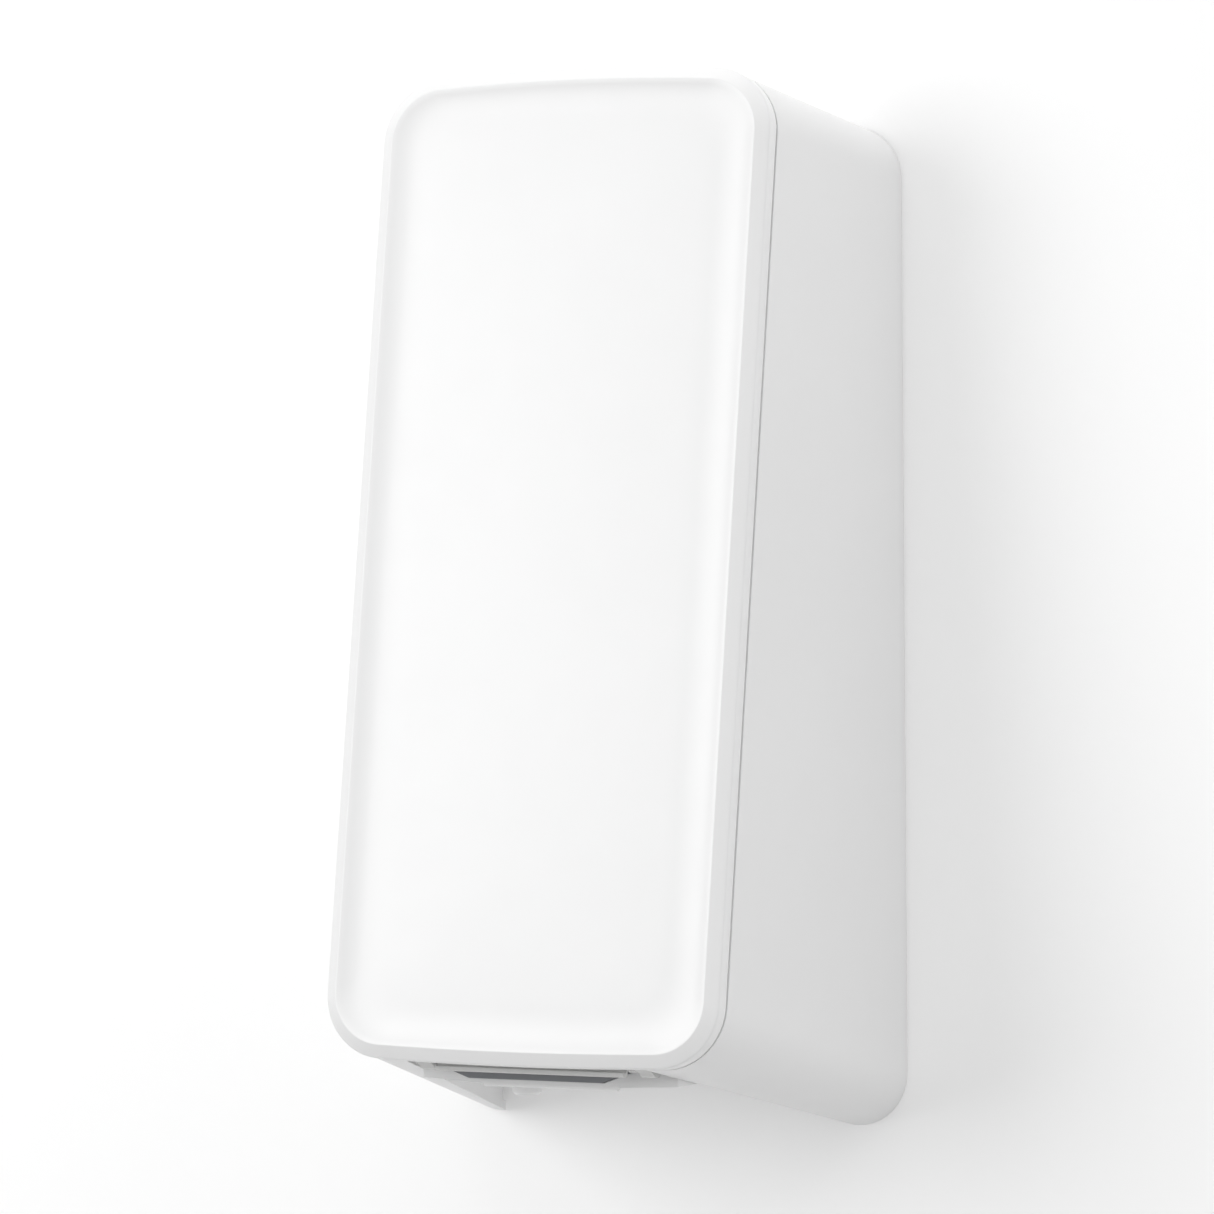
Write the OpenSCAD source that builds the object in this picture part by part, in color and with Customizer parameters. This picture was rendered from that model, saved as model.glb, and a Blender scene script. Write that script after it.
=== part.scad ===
// Wall mounted touch-free soap dispenser.
// Frame: +Z up, the wall is the plane y = 0 and the housing stands out from it
// towards -Y. The origin is the centre of the face that lies on the wall.
// All lengths are in millimetres.

/* [Housing] */
// Width of the housing where it meets the wall
wall_w = 140; // [130:1:150]
// Height of the housing where it meets the wall
wall_h = 277; // [265:1:290]
// Corner radius of the upper corners at the wall
wall_r_top = 14.5; // [12:0.5:20]
// Corner radius of the lower corners at the wall
wall_r_bot = 15; // [12:0.5:20]
// Width of the housing at the door seam
front_w = 116; // [114:1:124]
// Height of the housing at the door seam, measured along the door
front_h = 271; // [268:1:276]
// Corner radius of the door seam
front_r = 16.5; // [14:0.5:20]
// Distance of the middle of the door seam from the wall
front_y = 76.5; // [75:0.5:84]
// Height of the middle of the door seam above the middle of the wall face
front_z = 18.5; // [17:0.5:20]
// Angle by which the door leans back at the top
lean = 9.2; // [8:0.1:10]
// Rise of the middle of the top edge over its ends
top_bow = 2.6; // [1:0.1:4]
// Drop of the middle of the bottom edge below its ends
bottom_bow = 1.5; // [1:0.1:3]
// Wall thickness of the housing shell
shell_t = 2.5; // [2:0.1:3]

/* [Door] */
// Gap between the housing and the door panel
seam = 0.8; // [0.5:0.1:1]
// Depth of the straight side of the door rim
rim_side = 5.4; // [5:0.1:6.5]
// Full depth of the door rim, up to its crest
rim_depth = 7.5; // [7:0.1:9]
// Width of the bevel between the side and the crest of the rim
rim_bevel = 3.6; // [2.5:0.1:4.5]
// Width of the hollow slope inside the crest
dish_w = 12; // [9:0.5:15]
// Depth of the dished floor below the crest
dish_d = 1.6; // [1.2:0.1:2.6]
// Rise of the middle of the dished floor over its edge
dome = 0.9; // [0:0.1:1.5]
// Depth of the pocket in the back of the panel
panel_pocket = 1.2; // [0.8:0.1:1.6]
// Thickness of the plate of the inner door frame
frame_t = 2; // [1.6:0.1:2.4]
// Depth of the rim of the inner door frame behind its plate
frame_rim = 4; // [3:0.1:5]
// Radius of the hinge pins
pin_r = 1.3; // [1.1:0.1:1.5]
// Height of the hinge axis above the lower edge of the door
hinge_up = 2.5; // [2.2:0.1:2.8]
// Distance of the hinge axis behind the door seam
hinge_in = 9; // [8.5:0.1:10]

/* [Door lock] */
// Radius of the lock barrel
lock_r = 5; // [4.5:0.1:5.2]
// Distance of the lock axis behind the door seam
lock_in = 13; // [12.5:0.5:15]
// Reach of the lock cam from its axis
cam_l = 9; // [8.6:0.1:10]
// Thickness of the lock cam
cam_t = 3; // [2:0.1:3.4]

/* [Underside] */
// Width of the housing left beside the underside opening at the door
cheek_front = 22.5; // [21:0.5:24]
// Width of the housing left beside the underside opening at the wall
cheek_back = 16; // [15:0.5:20]
// Depth of the lower face of the base plate below the lower edge of the door
base_drop = 6.2; // [5.4:0.1:7]
// Thickness of the base plate
base_t = 2.2; // [1.8:0.1:2.6]
// Distance of the front of the base plate behind the hinge axis
base_inset = 5.9; // [5.6:0.1:7]
// Half width of the sensor window along its lower edge
window_low = 20; // [16:1:22]
// Width of the front wall beside the sensor window
window_side = 3.4; // [3:0.1:8]

/* [Soap bottle and pump] */
// Distance of the pump axis behind the front of the base plate
pump_in = 16; // [15.8:0.1:17]
// Gap between the bottle and the left edge of the door opening
bottle_side = 3.5; // [3:0.1:6]
// Gap between the bottle and the battery case
case_gap = 8.9; // [8:0.1:12]
// Depth of the top of the bottle below the upper edge of the door
bottle_drop = 42.2; // [40:0.1:50]
// Distance of the back of the bottle from the wall
bottle_back = 19; // [18:0.5:24]
// Gap between the door seam and the front of the bottle
bottle_gap = 11; // [10:0.5:14]
// Wall thickness of the bottle
bottle_t = 1.4; // [1:0.1:2]
// Height of the upper face of the bottle shelf above the base plate
shelf_up = 78.5; // [77:0.5:80]
// Thickness of the bottle shelf
shelf_t = 3; // [2.5:0.1:3.5]
// Radius of the pump bore
bore_r = 7.8; // [7:0.1:8]
// Wall thickness of the pump cylinder
pump_t = 1.7; // [1.4:0.1:1.8]
// Stroke of the pump
stroke = 10; // [6:0.5:10]
// Outer radius of the nozzle
nozzle_r = 4; // [3.5:0.1:4.3]
// Depth of the nozzle mouth below the base plate at rest
nozzle_drop = 4.5; // [3.5:0.1:5.5]

/* [Drive] */
// Module of the gears that lift the fork
gear_m = 1; // [0.9:0.05:1]
// Module of the motor pinion and its wheel
motor_m = 0.8; // [0.7:0.05:0.8]
// Teeth of the rack pinion
rack_teeth = 12; // [12:1:13]
// Teeth of the output wheel
output_teeth = 30; // [28:1:30]
// Teeth of the idler pinion
idler_small = 12; // [12:1:12]
// Teeth of the idler wheel
idler_big = 36; // [34:1:36]
// Teeth of the motor pinion
motor_teeth = 12; // [12:1:12]
// Radius of the gear shafts
shaft_r = 1.5; // [1.2:0.1:1.7]
// Radius of the motor can
motor_r = 10; // [8:0.5:10.5]
// Length of the motor can
motor_l = 28; // [22:1:30]

/* [Battery case] */
// Radius of a battery cell
cell_r = 7.2; // [6.8:0.1:7.3]
// Length of a battery cell
cell_l = 50; // [48:0.5:50.5]
// Distance of the middle of the battery case from the right edge of the door opening
case_side = 14.5; // [14:0.5:16]
// Height of the bottom of the battery case above the bottle shelf
case_up = 7; // [5:0.5:12]

/* [Wall fixing] */
// Sideways distance between the wall screw slots
fix_w = 90; // [84:1:92]
// Height between the wall screw slots
fix_h = 170; // [160:1:175]
// Radius of the wall screw slots
fix_r = 2.6; // [2:0.1:3]
// Length of the straight part of the wall screw slots
fix_slot = 4; // [2:0.5:6]
// Thickness of the wall plate
plate_t = 3; // [2.5:0.1:3.5]

/* [Hidden] */

$fn = 48;
fit = 0.05;          // running fit of round parts
gap = 0.3;           // ordinary gap between neighbouring pieces
eps = 0.01;

white = [0.96, 0.96, 0.95];
pale = [0.86, 0.87, 0.87];
dark = [0.06, 0.06, 0.07];
grey = [0.45, 0.46, 0.47];
steel = [0.72, 0.72, 0.70];
brass = [0.78, 0.64, 0.34];
nylon = [0.90, 0.89, 0.84];
green = [0.10, 0.34, 0.20];

// ---- frames ------------------------------------------------------------------------------

// Children drawn in x (right), y (up along the door) and z (forward) are put on the door seam.
module on_door() {
    translate([0, -front_y, front_z])
        rotate([-lean, 0, 0])
            rotate([90, 0, 0]) children();
}

// A point given as sideways, up-along-door and forward, as a point of the part's frame.
function door_point(x, s, f) = [x,
    -front_y + s * sin(lean) - f * cos(lean),
    front_z + s * cos(lean) + f * sin(lean)];

// Distance of the seam plane from the wall at a height z, as a negative y.
function seam_y(z) = -front_y + (z - front_z) * tan(lean);

door_top_z = front_z + front_h / 2 * cos(lean);
door_low_z = front_z - front_h / 2 * cos(lean);
base_z = door_low_z - base_drop;
shelf_z = base_z + shelf_up;
bottle_top = door_top_z - bottle_drop;
case_z = shelf_z + case_up;

// ---- housing outline ---------------------------------------------------------------------

corner_n = 10;
edge_n = 4;

function arc_points(cx, cz, r, a0) =
    [for (k = [0:corner_n]) [cx + r * cos(a0 + 90 * k / corner_n),
                             cz + r * sin(a0 + 90 * k / corner_n)]];

function run_points(x0, x1, z) =
    [for (k = [1:edge_n - 1]) [x0 + (x1 - x0) * k / edge_n, z]];

// A rounded rectangle, with the same number of points at every size.
function box_points(w, h, rt, rb) = concat(
    arc_points(w - rb, -h + rb, rb, -90),
    arc_points(w - rt, h - rt, rt, 0),
    run_points(w - rt, -w + rt, h),
    arc_points(-w + rt, h - rt, rt, 90),
    arc_points(-w + rb, -h + rb, rb, 180),
    run_points(-w + rb, w - rb, -h));

// The top and bottom edges bow outwards in their middle.
function bowed(points, w, h, bt, bb) =
    [for (p = points) [p[0], p[1] - (p[1] > 0 ? bt : -bb) * pow(p[0] / w, 2) * abs(p[1]) / h]];

// The corner radius at an inset d: it falls quickly across the rim and slowly within it.
function seam_r(d) = front_r - 0.8 * min(d, rim_bevel) - 0.25 * max(d - rim_bevel, 0);

// The outline of the door seam, drawn in by d.
function seam_outline(d) = bowed(
    box_points(front_w / 2 - d, front_h / 2 - d, seam_r(d), seam_r(d)),
    front_w / 2, front_h / 2, top_bow, bottom_bow);

// The outline at the wall, drawn in by d.
function wall_outline(d) =
    box_points(wall_w / 2 - d, wall_h / 2 - d, wall_r_top - 0.8 * d, wall_r_bot - 0.8 * d);

// Ring of the housing, drawn in by d: t is 0 at the door seam and 1 at the wall.
function housing_ring(t, d) =
    let (a = seam_outline(d), b = wall_outline(d))
    [for (i = [0:len(a) - 1])
        let (p = door_point(a[i][0], a[i][1], 0), q = [b[i][0], 0, b[i][1]])
        p + t * (q - p)];

// A closed skin through rings of equal length. The first ring is the back of the skin and
// the rings run anticlockwise as seen from the last ring.
module loft(rings) {
    n = len(rings[0]);
    m = len(rings);
    last = (m - 1) * n;
    polyhedron(
        points = concat([for (r = rings) each r], [middle(rings[0]), middle(rings[m - 1])]),
        faces = concat(
            [for (i = [0:n - 1]) [i, (i + 1) % n, m * n]],
            [for (j = [0:m - 2], i = [0:n - 1])
                each [[j * n + i, (j + 1) * n + i, j * n + (i + 1) % n],
                      [(j + 1) * n + i, (j + 1) * n + (i + 1) % n, j * n + (i + 1) % n]]],
            [for (i = [0:n - 1]) [last + i, m * n + 1, last + (i + 1) % n]]),
        convexity = 4);
}

function middle(ring) = [for (k = [0:2]) mean([for (p = ring) p[k]])];
function mean(v) = v * [for (x = v) 1] / len(v);

// The housing as a solid, drawn in by d and lengthened past the door and the wall by e.
module housing_solid(d = 0, e = 0) {
    loft([housing_ring(1 + e, d), housing_ring(-e, d)]);
}

// ---- underside opening -------------------------------------------------------------------

bottom_y = seam_y(door_low_z);
open_front = front_w / 2 - cheek_front;
open_back = wall_w / 2 - cheek_back;

// Half width of the underside opening at a distance y (negative) from the wall.
function open_w(y) = open_back + (open_front - open_back) * y / bottom_y;

// The plan of the opening between two distances from the wall, grown sideways by d.
module opening_plan(y0, y1, d) {
    polygon([[-open_w(y0) - d, y0], [open_w(y0) + d, y0], [open_w(y1) + d, y1], [-open_w(y1) - d, y1]]);
}

skirt_t = 2;
skirt_top = base_z + 4.5;
base_lug_y = [-58, -14];
lug_r = 3.2;
function lug_x(y) = open_w(y) + skirt_t + lug_r - 0.8;

// ---- hinge -------------------------------------------------------------------------------

hinge_s = -front_h / 2 + hinge_up;
hinge_p = door_point(0, hinge_s, -hinge_in);
base_front = -hinge_p[1] - base_inset;
pump_y = base_front - pump_in;
ear_x0 = open_w(hinge_p[1]);
ear_x1 = ear_x0 + 3;
arm_x1 = ear_x0 - 2.4;
arm_x0 = arm_x1 - 4.4;

// A round bar along X on the hinge axis, between two sideways places.
module on_hinge(x0, x1, r) {
    translate([x0, hinge_p[1], hinge_p[2]])
        rotate([0, 90, 0])
            cylinder(h = x1 - x0, r = r);
}

// ---- screws ------------------------------------------------------------------------------

// A pan-head screw along -Z, its head's seat at the origin and its head above it.
module screw(r, l, head_r = 0, head_h = 0) {
    hr = head_r == 0 ? r * 1.9 : head_r;
    hh = head_h == 0 ? r * 1.2 : head_h;
    difference() {
        union() {
            translate([0, 0, -l]) cylinder(h = l + eps, r = r, $fn = 24);
            cylinder(h = hh, r = hr, $fn = 24);
        }
        translate([0, 0, hh * 0.5]) cross_recess(hr, hh);
    }
}

module cross_recess(hr, hh) {
    for (a = [0, 90])
        rotate([0, 0, a])
            translate([-hr * 0.55, -hr * 0.14, 0])
                cube([hr * 1.1, hr * 0.28, hh]);
}

// Children drawn with +Z towards the room are turned to face -Y.
module to_front() {
    rotate([90, 0, 0]) children();
}

// ---- wall plate --------------------------------------------------------------------------

plate_gap = gap + plate_t * (0.143 + (wall_w - front_w) / 2 / front_y);   // the shell narrows away from the wall
plate_cut_z = skirt_top + 4;
tab_x = wall_w / 2 - 14;
tab_z = [skirt_top + 13, wall_h / 2 - 34.5];
tab_y = -12;
tab_t = 3;
boss_r = 4.2;
screw_r = 1.5;

shelf_fix_z = shelf_z + 11;
shelf_flange_y = -6.5;

board_y = -10.4;
board_t = 1.6;
board_x1 = tab_x - 6;
board_x0 = board_x1 - 47;
board_z0 = base_z + 13.5;
board_z1 = board_z0 + 46;
board_pins = [for (x = [board_x0 + 4, board_x1 - 4], z = [board_z0 + 4, board_z1 - 4]) [x, z]];

case_back = -8;
case_wall = 1.6;
case_w = 2 * cell_r + 2 * case_wall + 0.6;
case_h = 2 * cell_l + 8;
case_x = front_w / 2 - case_side;
bottle_x0 = -front_w / 2 + bottle_side;
bottle_x1 = case_x - case_w / 2 - case_gap;
bottle_w = (bottle_x1 - bottle_x0) / 2;
bottle_x = (bottle_x1 + bottle_x0) / 2;

// The gearbox stands against the right side of the housing and the pump beside the gearbox.
cover_y = -74;
box_z0 = base_z + 13.5;
function shell_in(y, z) = front_w / 2 + (wall_w - front_w) / 2 * (1 - y / seam_y(z)) - shell_t;
box_x1 = shell_in(cover_y, box_z0 + 30) - 1;
rack_x = box_x1 - 44.8;
pump_x = rack_x - 26.5;
shelf_fix_x = [pump_x - 24, pump_x + 24];
case_d = 4 * cell_r + 2 * case_wall + 1.2;

module plate_outline() {
    difference() {
        polygon(wall_outline(shell_t + plate_gap));
        translate([-open_back - 4.2, -wall_h]) square([2 * (open_back + 4.2), wall_h + plate_cut_z]);
    }
}

module fix_slots() {
    for (x = [-1, 1], z = [-1, 1])
        translate([x * fix_w / 2, 0, z * fix_h / 2]) {
            for (s = [-1, 1])
                translate([s * fix_slot / 2, 1, 0])
                    to_front() cylinder(h = plate_t + 2, r = fix_r);
            translate([-fix_slot / 2, -plate_t - 1, -fix_r])
                cube([fix_slot, plate_t + 2, 2 * fix_r]);
        }
}

module boss_at(x, z, r, front, hole) {
    translate([x, -plate_t + eps, z])
        to_front()
            difference() {
                cylinder(h = -front - plate_t + eps, r = r, $fn = 32);
                translate([0, 0, 1]) cylinder(h = 60, r = hole, $fn = 24);
            }
}

module wall_plate() {
    color(pale)
    union() {
        difference() {
            to_front() linear_extrude(plate_t) plate_outline();
            fix_slots();
        }
        // stiffening ribs around the slots and across the plate
        for (x = [-1, 1]) {
            translate([x * 30 - 0.8, -plate_t - 3, plate_cut_z + 4])
                cube([1.6, 3 + eps, tab_z[1] + 18.5 - plate_cut_z]);
        }
        for (z = [tab_z[0] - 2.6, tab_z[1] + 20])
            translate([-tab_x + 4, -plate_t - 3, z - 0.8])
                cube([2 * tab_x - 8, 3 + eps, 1.6]);
        for (x = [-1, 1], z = tab_z) boss_at(x * tab_x, z, boss_r, tab_y, screw_r - 0.15);
        for (x = shelf_fix_x) boss_at(x, shelf_fix_z, boss_r, shelf_flange_y, screw_r - 0.15);
        for (p = board_pins) boss_at(p[0], p[1], 3, board_y, 0.8);
        // posts that carry the battery case
        for (z = [case_z + 12, case_z + case_h - 12])
            boss_at(case_x, z, 5, case_back, screw_r - 0.15);
    }
}

// ---- housing shell -----------------------------------------------------------------------

module skirts() {
    intersection() {
        housing_solid();
        union() {
            translate([0, 0, -wall_h])
                linear_extrude(wall_h + skirt_top)
                    difference() {
                        opening_plan(bottom_y + 16, -plate_t - gap, skirt_t);
                        opening_plan(bottom_y - 20, 20, 0);
                    }
            for (s = [-1, 1], y = base_lug_y)
                translate([s * lug_x(y), y, -wall_h])
                    cylinder(h = wall_h + skirt_top, r = lug_r, $fn = 32);
            // ears for the hinge pins
            for (s = [0, 1]) mirror([s, 0, 0])
                hull() {
                    on_hinge(ear_x0, ear_x1, 3.4, $fn = 32);
                    translate([ear_x0, hinge_p[1] - 3, -wall_h / 2]) cube([ear_x1 - ear_x0, 7.5, 6]);
                }
        }
    }
}

module shell_tabs() {
    intersection() {
        housing_solid(0.5);
        for (x = [-1, 1], z = tab_z)
            translate([x > 0 ? tab_x - 5.5 : -tab_x - 40, tab_y - tab_t, z - 7])
                cube([45.5, tab_t, 14]);
    }
}

module housing_shell() {
    color(white)
    difference() {
        union() {
            difference() {
                housing_solid();
                housing_solid(shell_t, 0.05);
                translate([0, 0, -wall_h])
                    linear_extrude(wall_h + skirt_top + 12) opening_plan(bottom_y - 20, 20, 0);
            }
            skirts();
            shell_tabs();
            lock_bosses();
        }
        // pilot holes
        for (s = [-1, 1], y = base_lug_y)
            translate([s * lug_x(y), y, skirt_top - 5.4]) cylinder(h = 20, r = screw_r - 0.35, $fn = 24);
        for (x = [-1, 1], z = tab_z)
            translate([x * tab_x, 0, z]) to_front() cylinder(h = 40, r = screw_r + 0.1, $fn = 24);
        on_hinge(-ear_x1 + 0.6, ear_x1 - 0.6, pin_r + 0.02);
        lock_holes();
    }
}

module housing_screws() {
    color(steel)
    for (x = [-1, 1], z = tab_z)
        translate([x * tab_x, tab_y - tab_t, z]) to_front() screw(screw_r - 0.17, -tab_y + tab_t - plate_t - 1.2);
}

// ---- lock --------------------------------------------------------------------------------

// Height of the housing's top surface in the middle, along the door, f behind the seam.
wall_top_s = front_y * sin(lean) + (wall_h / 2 - front_z) * cos(lean);
wall_top_f = front_y * cos(lean) - (wall_h / 2 - front_z) * sin(lean);
function top_s(f) = front_h / 2 + (wall_top_s - front_h / 2) * f / wall_top_f;

lock_flange_t = 1.4;
lock_flange_r = lock_r + 1.6;
lock_seat = min(top_s(lock_in + lock_flange_r), top_s(lock_in - lock_flange_r)) - shell_t - 0.64;
bracket_t = 2.5;
bracket_top = lock_seat - 2 * gap - lock_flange_t;
bracket_s = bracket_top - bracket_t;
lock_screw_x = 17;
lock_screw_l = 6;
barrel_s = bracket_s - 4.7;
cam_w = 5;
striker_t = 2.5;
striker_x = lock_r + 0.8;
striker_w = 6.2;

// Children are put on the axis of the lock, with +Z up along the door.
module on_lock(x = 0) {
    on_door() translate([x, 0, -lock_in]) rotate([-90, 0, 0]) children();
}

module lock_bosses() {
    intersection() {
        housing_solid(0.5);
        union() {
            for (x = [-1, 1])
                on_lock(x * lock_screw_x)
                    translate([0, 0, bracket_top]) cylinder(h = 40, r = 3.4, $fn = 32);
            on_lock() translate([0, 0, lock_seat]) cylinder(h = 30, r = lock_r + 3);
        }
    }
}

module lock_holes() {
    for (x = [-1, 1])
        on_lock(x * lock_screw_x)
            translate([0, 0, bracket_top - 1]) cylinder(h = lock_screw_l - bracket_t + 1.4, r = screw_r - 0.35, $fn = 24);
    on_lock() translate([0, 0, lock_seat - 5]) cylinder(h = 30, r = lock_r + fit);
}

module lock_bracket() {
    color(grey)
    difference() {
        union() {
            on_door() translate([-lock_screw_x, bracket_s, -lock_in - lock_r - 1.6])
                cube([2 * lock_screw_x, bracket_t, 2 * lock_r + 3.2]);
            for (x = [-1, 1])
                on_lock(x * lock_screw_x) translate([0, 0, bracket_s]) cylinder(h = bracket_t, r = 4.4, $fn = 32);
        }
        on_lock() translate([0, 0, bracket_s - 1]) cylinder(h = 20, r = lock_r + fit);
        for (x = [-1, 1])
            on_lock(x * lock_screw_x) translate([0, 0, bracket_s - 1]) cylinder(h = 20, r = screw_r + 0.1, $fn = 24);
    }
}

module lock_screws() {
    color(steel)
    for (x = [-1, 1])
        on_lock(x * lock_screw_x)
            translate([0, 0, bracket_s]) rotate([180, 0, 0]) screw(screw_r - 0.4, lock_screw_l);
}

module lock_barrel() {
    top = top_s(lock_in) - 1;
    color(steel)
    on_lock()
    difference() {
        union() {
            translate([0, 0, barrel_s]) cylinder(h = top - barrel_s, r = lock_r);
            translate([0, 0, lock_seat - gap - lock_flange_t])
                cylinder(h = lock_flange_t, r = lock_flange_r);
        }
        // slot for the service key
        translate([-lock_r * 0.62, -0.8, top - 5]) cube([lock_r * 1.24, 1.6, 10]);
        translate([0, 0, barrel_s - 1]) cylinder(h = 7, r = 1.1, $fn = 24);
    }
}

module lock_cam() {
    color(steel)
    on_lock()
    difference() {
        union() {
            translate([0, 0, barrel_s - cam_t]) cylinder(h = cam_t, r = lock_r);
            // the lever points at the door when the lock is open
            translate([-cam_w / 2, 0, barrel_s - cam_t]) cube([cam_w, cam_l - cam_w / 2, cam_t]);
            translate([0, cam_l - cam_w / 2, barrel_s - cam_t]) cylinder(h = cam_t, r = cam_w / 2);
        }
        translate([0, 0, barrel_s - 10]) cylinder(h = 20, r = 1.5, $fn = 24);
    }
}

module cam_screw() {
    color(steel)
    on_lock()
        translate([0, 0, barrel_s - cam_t]) rotate([180, 0, 0]) screw(1.08, cam_t + 5);
}

// The striker of the door frame, which the cam catches when the lock is turned.
module striker() {
    end_f = -lock_in - cam_w / 2 - 0.4 - striker_t;
    translate([striker_x, barrel_s + 1.5, end_f]) cube([striker_w, striker_t, -end_f]);
    translate([striker_x, barrel_s - cam_t - 1, end_f])
        cube([striker_w, cam_t + 2.5 + striker_t, striker_t]);
    translate([striker_x + striker_w / 2 - 0.8, barrel_s + 1.5 - 5, -6]) cube([1.6, 5 + eps, 6]);
}

// A coil spring from z = 0 to z = l with n turns, closed flat at both ends.
module coil(r, wire, l, n, per = 14, sides = 6) {
    rings = n * per;
    z0 = wire;
    z1 = l - wire;
    // the pitch falls to one wire over the first and the last turn
    function rise(k) = let (t = k / per, m = n - 2)
        t < 1 ? z0 + 0.55 * t * wire :
        t > n - 1 ? z1 - 0.55 * (n - t) * wire :
        z0 + 0.55 * wire + (z1 - z0 - 1.1 * wire) * (t - 1) / m;
    points = [for (k = [0:rings], j = [0:sides - 1])
        let (a = 360 * k / per, b = 360 * j / sides, q = r + wire * cos(b))
        [q * cos(a), q * sin(a), rise(k) + wire * sin(b)]];
    polyhedron(
        points = points,
        faces = concat(
            [[for (j = [0:sides - 1]) sides - 1 - j]],
            [for (k = [0:rings - 1], j = [0:sides - 1])
                let (a = k * sides + j, b = k * sides + (j + 1) % sides)
                each [[a, b, a + sides], [b, b + sides, a + sides]]],
            [[for (j = [0:sides - 1]) rings * sides + j]]),
        convexity = 8);
}

// ---- base plate --------------------------------------------------------------------------

base_back = -plate_t - gap;
wall_top = skirt_top + 1.8;
ring_h = 3;
hole_r = nozzle_r + 3;
post = [[rack_x - 6, -54], [rack_x + 15, -54]];
gearbox_z0 = box_z0;
window_z0 = base_z + 1.2;
window_z1 = base_z + 9;
window_x = rack_x - 16;
window_high = open_w(-base_front) - abs(window_x) - window_side;
lip_r = 1.1;

// The front view of the window opening, drawn in by d.
module window_outline(d) {
    polygon([[window_x - window_low + d, window_z0 + d], [window_x + window_low - d, window_z0 + d],
             [window_x + window_high - d, window_z0 + 4], [window_x + window_high - d, window_z1 - d],
             [window_x - window_high + d, window_z1 - d], [window_x - window_high + d, window_z0 + 4]]);
}

module edge_rise(h) {
    x1 = open_w(-base_front) + 6;
    polygon([[20, base_z - 1], [x1, base_z - 1], [x1, base_z + h], [20, base_z]]);
}

module base_plate() {
    y0 = -base_front;
    color(white)
    difference() {
        union() {
            // floor
            translate([0, 0, base_z]) linear_extrude(base_t) opening_plan(y0, base_back, -0.4);
            // side walls
            translate([0, 0, base_z]) linear_extrude(wall_top - base_z)
                difference() {
                    opening_plan(y0, base_back, -0.4);
                    opening_plan(y0 - 5, 5, -2.2);
                }
            // flanges over the skirts
            intersection() {
                housing_solid(shell_t + gap);
                translate([0, 0, skirt_top]) linear_extrude(wall_top - skirt_top)
                    difference() {
                        union() {
                            opening_plan(-72, base_back, skirt_t);
                            for (s = [-1, 1], y = base_lug_y) translate([s * lug_x(y), y]) circle(r = lug_r);
                        }
                        opening_plan(y0 - 5, 5, -0.4 - eps);
                    }
            }
            // front wall with the frame of the sensor window
            translate([-open_w(y0) + 0.4, y0, base_z])
                cube([2 * open_w(y0) - 0.8, 2, window_z1 - base_z + 2]);
            // rounded lip along the lower front edge
            translate([-open_w(y0) + 1.6, y0 + lip_r, base_z + 0.2])
                rotate([0, 90, 0]) cylinder(h = 2 * open_w(y0) - 3.2, r = lip_r, $fn = 24);
            // collar around the nozzle
            translate([pump_x, -pump_y, base_z]) cylinder(h = base_t + ring_h, r = hole_r + 1.8);
            // posts under the gearbox
            for (p = post)
                translate([p[0], p[1], base_z]) cylinder(h = gearbox_z0 - base_z, r = 4);
            // posts that hold the edges of the sensor board
            for (x = [sensor_x0 - 1.2, sensor_x1 - 1])
                translate([x, sensor_y - 1.4, base_z + base_t - eps])
                    cube([2.2, 3.4, window_z1 - base_z - base_t]);
        }
        translate([sensor_x0, sensor_y - 0.1, base_z + base_t])
            cube([sensor_x1 - sensor_x0, sensor_t + 0.2, 20]);
        translate([pump_x, -pump_y, base_z - 1]) cylinder(h = 20, r = hole_r);
        translate([0, y0 + 3, 0]) to_front() linear_extrude(4) window_outline(0);
        // the lower front edge rises a little at its ends
        for (s = [0, 1]) mirror([s, 0, 0])
            hull() {
                translate([0, y0 - 1, 0]) to_front() linear_extrude(eps) edge_rise(1.3);
                translate([0, y0 + 40, 0]) to_front() linear_extrude(eps) edge_rise(0.02);
            }
        for (s = [-1, 1], y = base_lug_y)
            translate([s * lug_x(y), y, base_z]) cylinder(h = 40, r = screw_r + 0.1, $fn = 24);
        for (p = post) {
            translate([p[0], p[1], base_z - 1]) cylinder(h = 40, r = screw_r + 0.1, $fn = 24);
            translate([p[0], p[1], base_z - 1]) cylinder(h = 4, r = 3.4, $fn = 32);
        }
    }
}

module base_screws() {
    color(steel) {
        for (s = [-1, 1], y = base_lug_y)
            translate([s * lug_x(y), y, wall_top]) screw(screw_r - 0.4, wall_top - skirt_top + 4.6);
        for (p = post)
            translate([p[0], p[1], base_z + 3]) rotate([180, 0, 0]) screw(screw_r - 0.17, gearbox_z0 - base_z + 1.2);
    }
}

module sensor_window() {
    y0 = -base_front;
    color(dark)
    translate([0, y0, 0])
        difference() {
            union() {
                translate([0, 2.5, 0]) to_front() linear_extrude(3.3) window_outline(0.1);
                // flange behind the front wall
                translate([window_x - window_high - 1.2, 2.02, window_z0 + 4])
                    cube([2 * window_high + 2.4, 1.2, window_z1 - window_z0 - 4.2]);
            }
            // thin lenses in front of the sender and the receiver
            for (x = sensor_x)
                translate([x, 4, (window_z0 + window_z1) / 2])
                    rotate([90, 0, 0]) cylinder(h = 3, r = 2.6, $fn = 32);
        }
}

diode_r = 1.5;
sensor_x = [window_x + 6, window_x + 18];
sensor_y = -base_front + 7;
sensor_t = 1.2;
sensor_x0 = sensor_x[0] - 6;
sensor_x1 = sensor_x[1] + 6;

module sensor_board() {
    color(green)
    translate([sensor_x0 + 0.3, sensor_y, base_z + base_t + 0.1])
        cube([sensor_x1 - sensor_x0 - 0.6, sensor_t, window_z1 - base_z - base_t - 0.3]);
}

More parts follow.
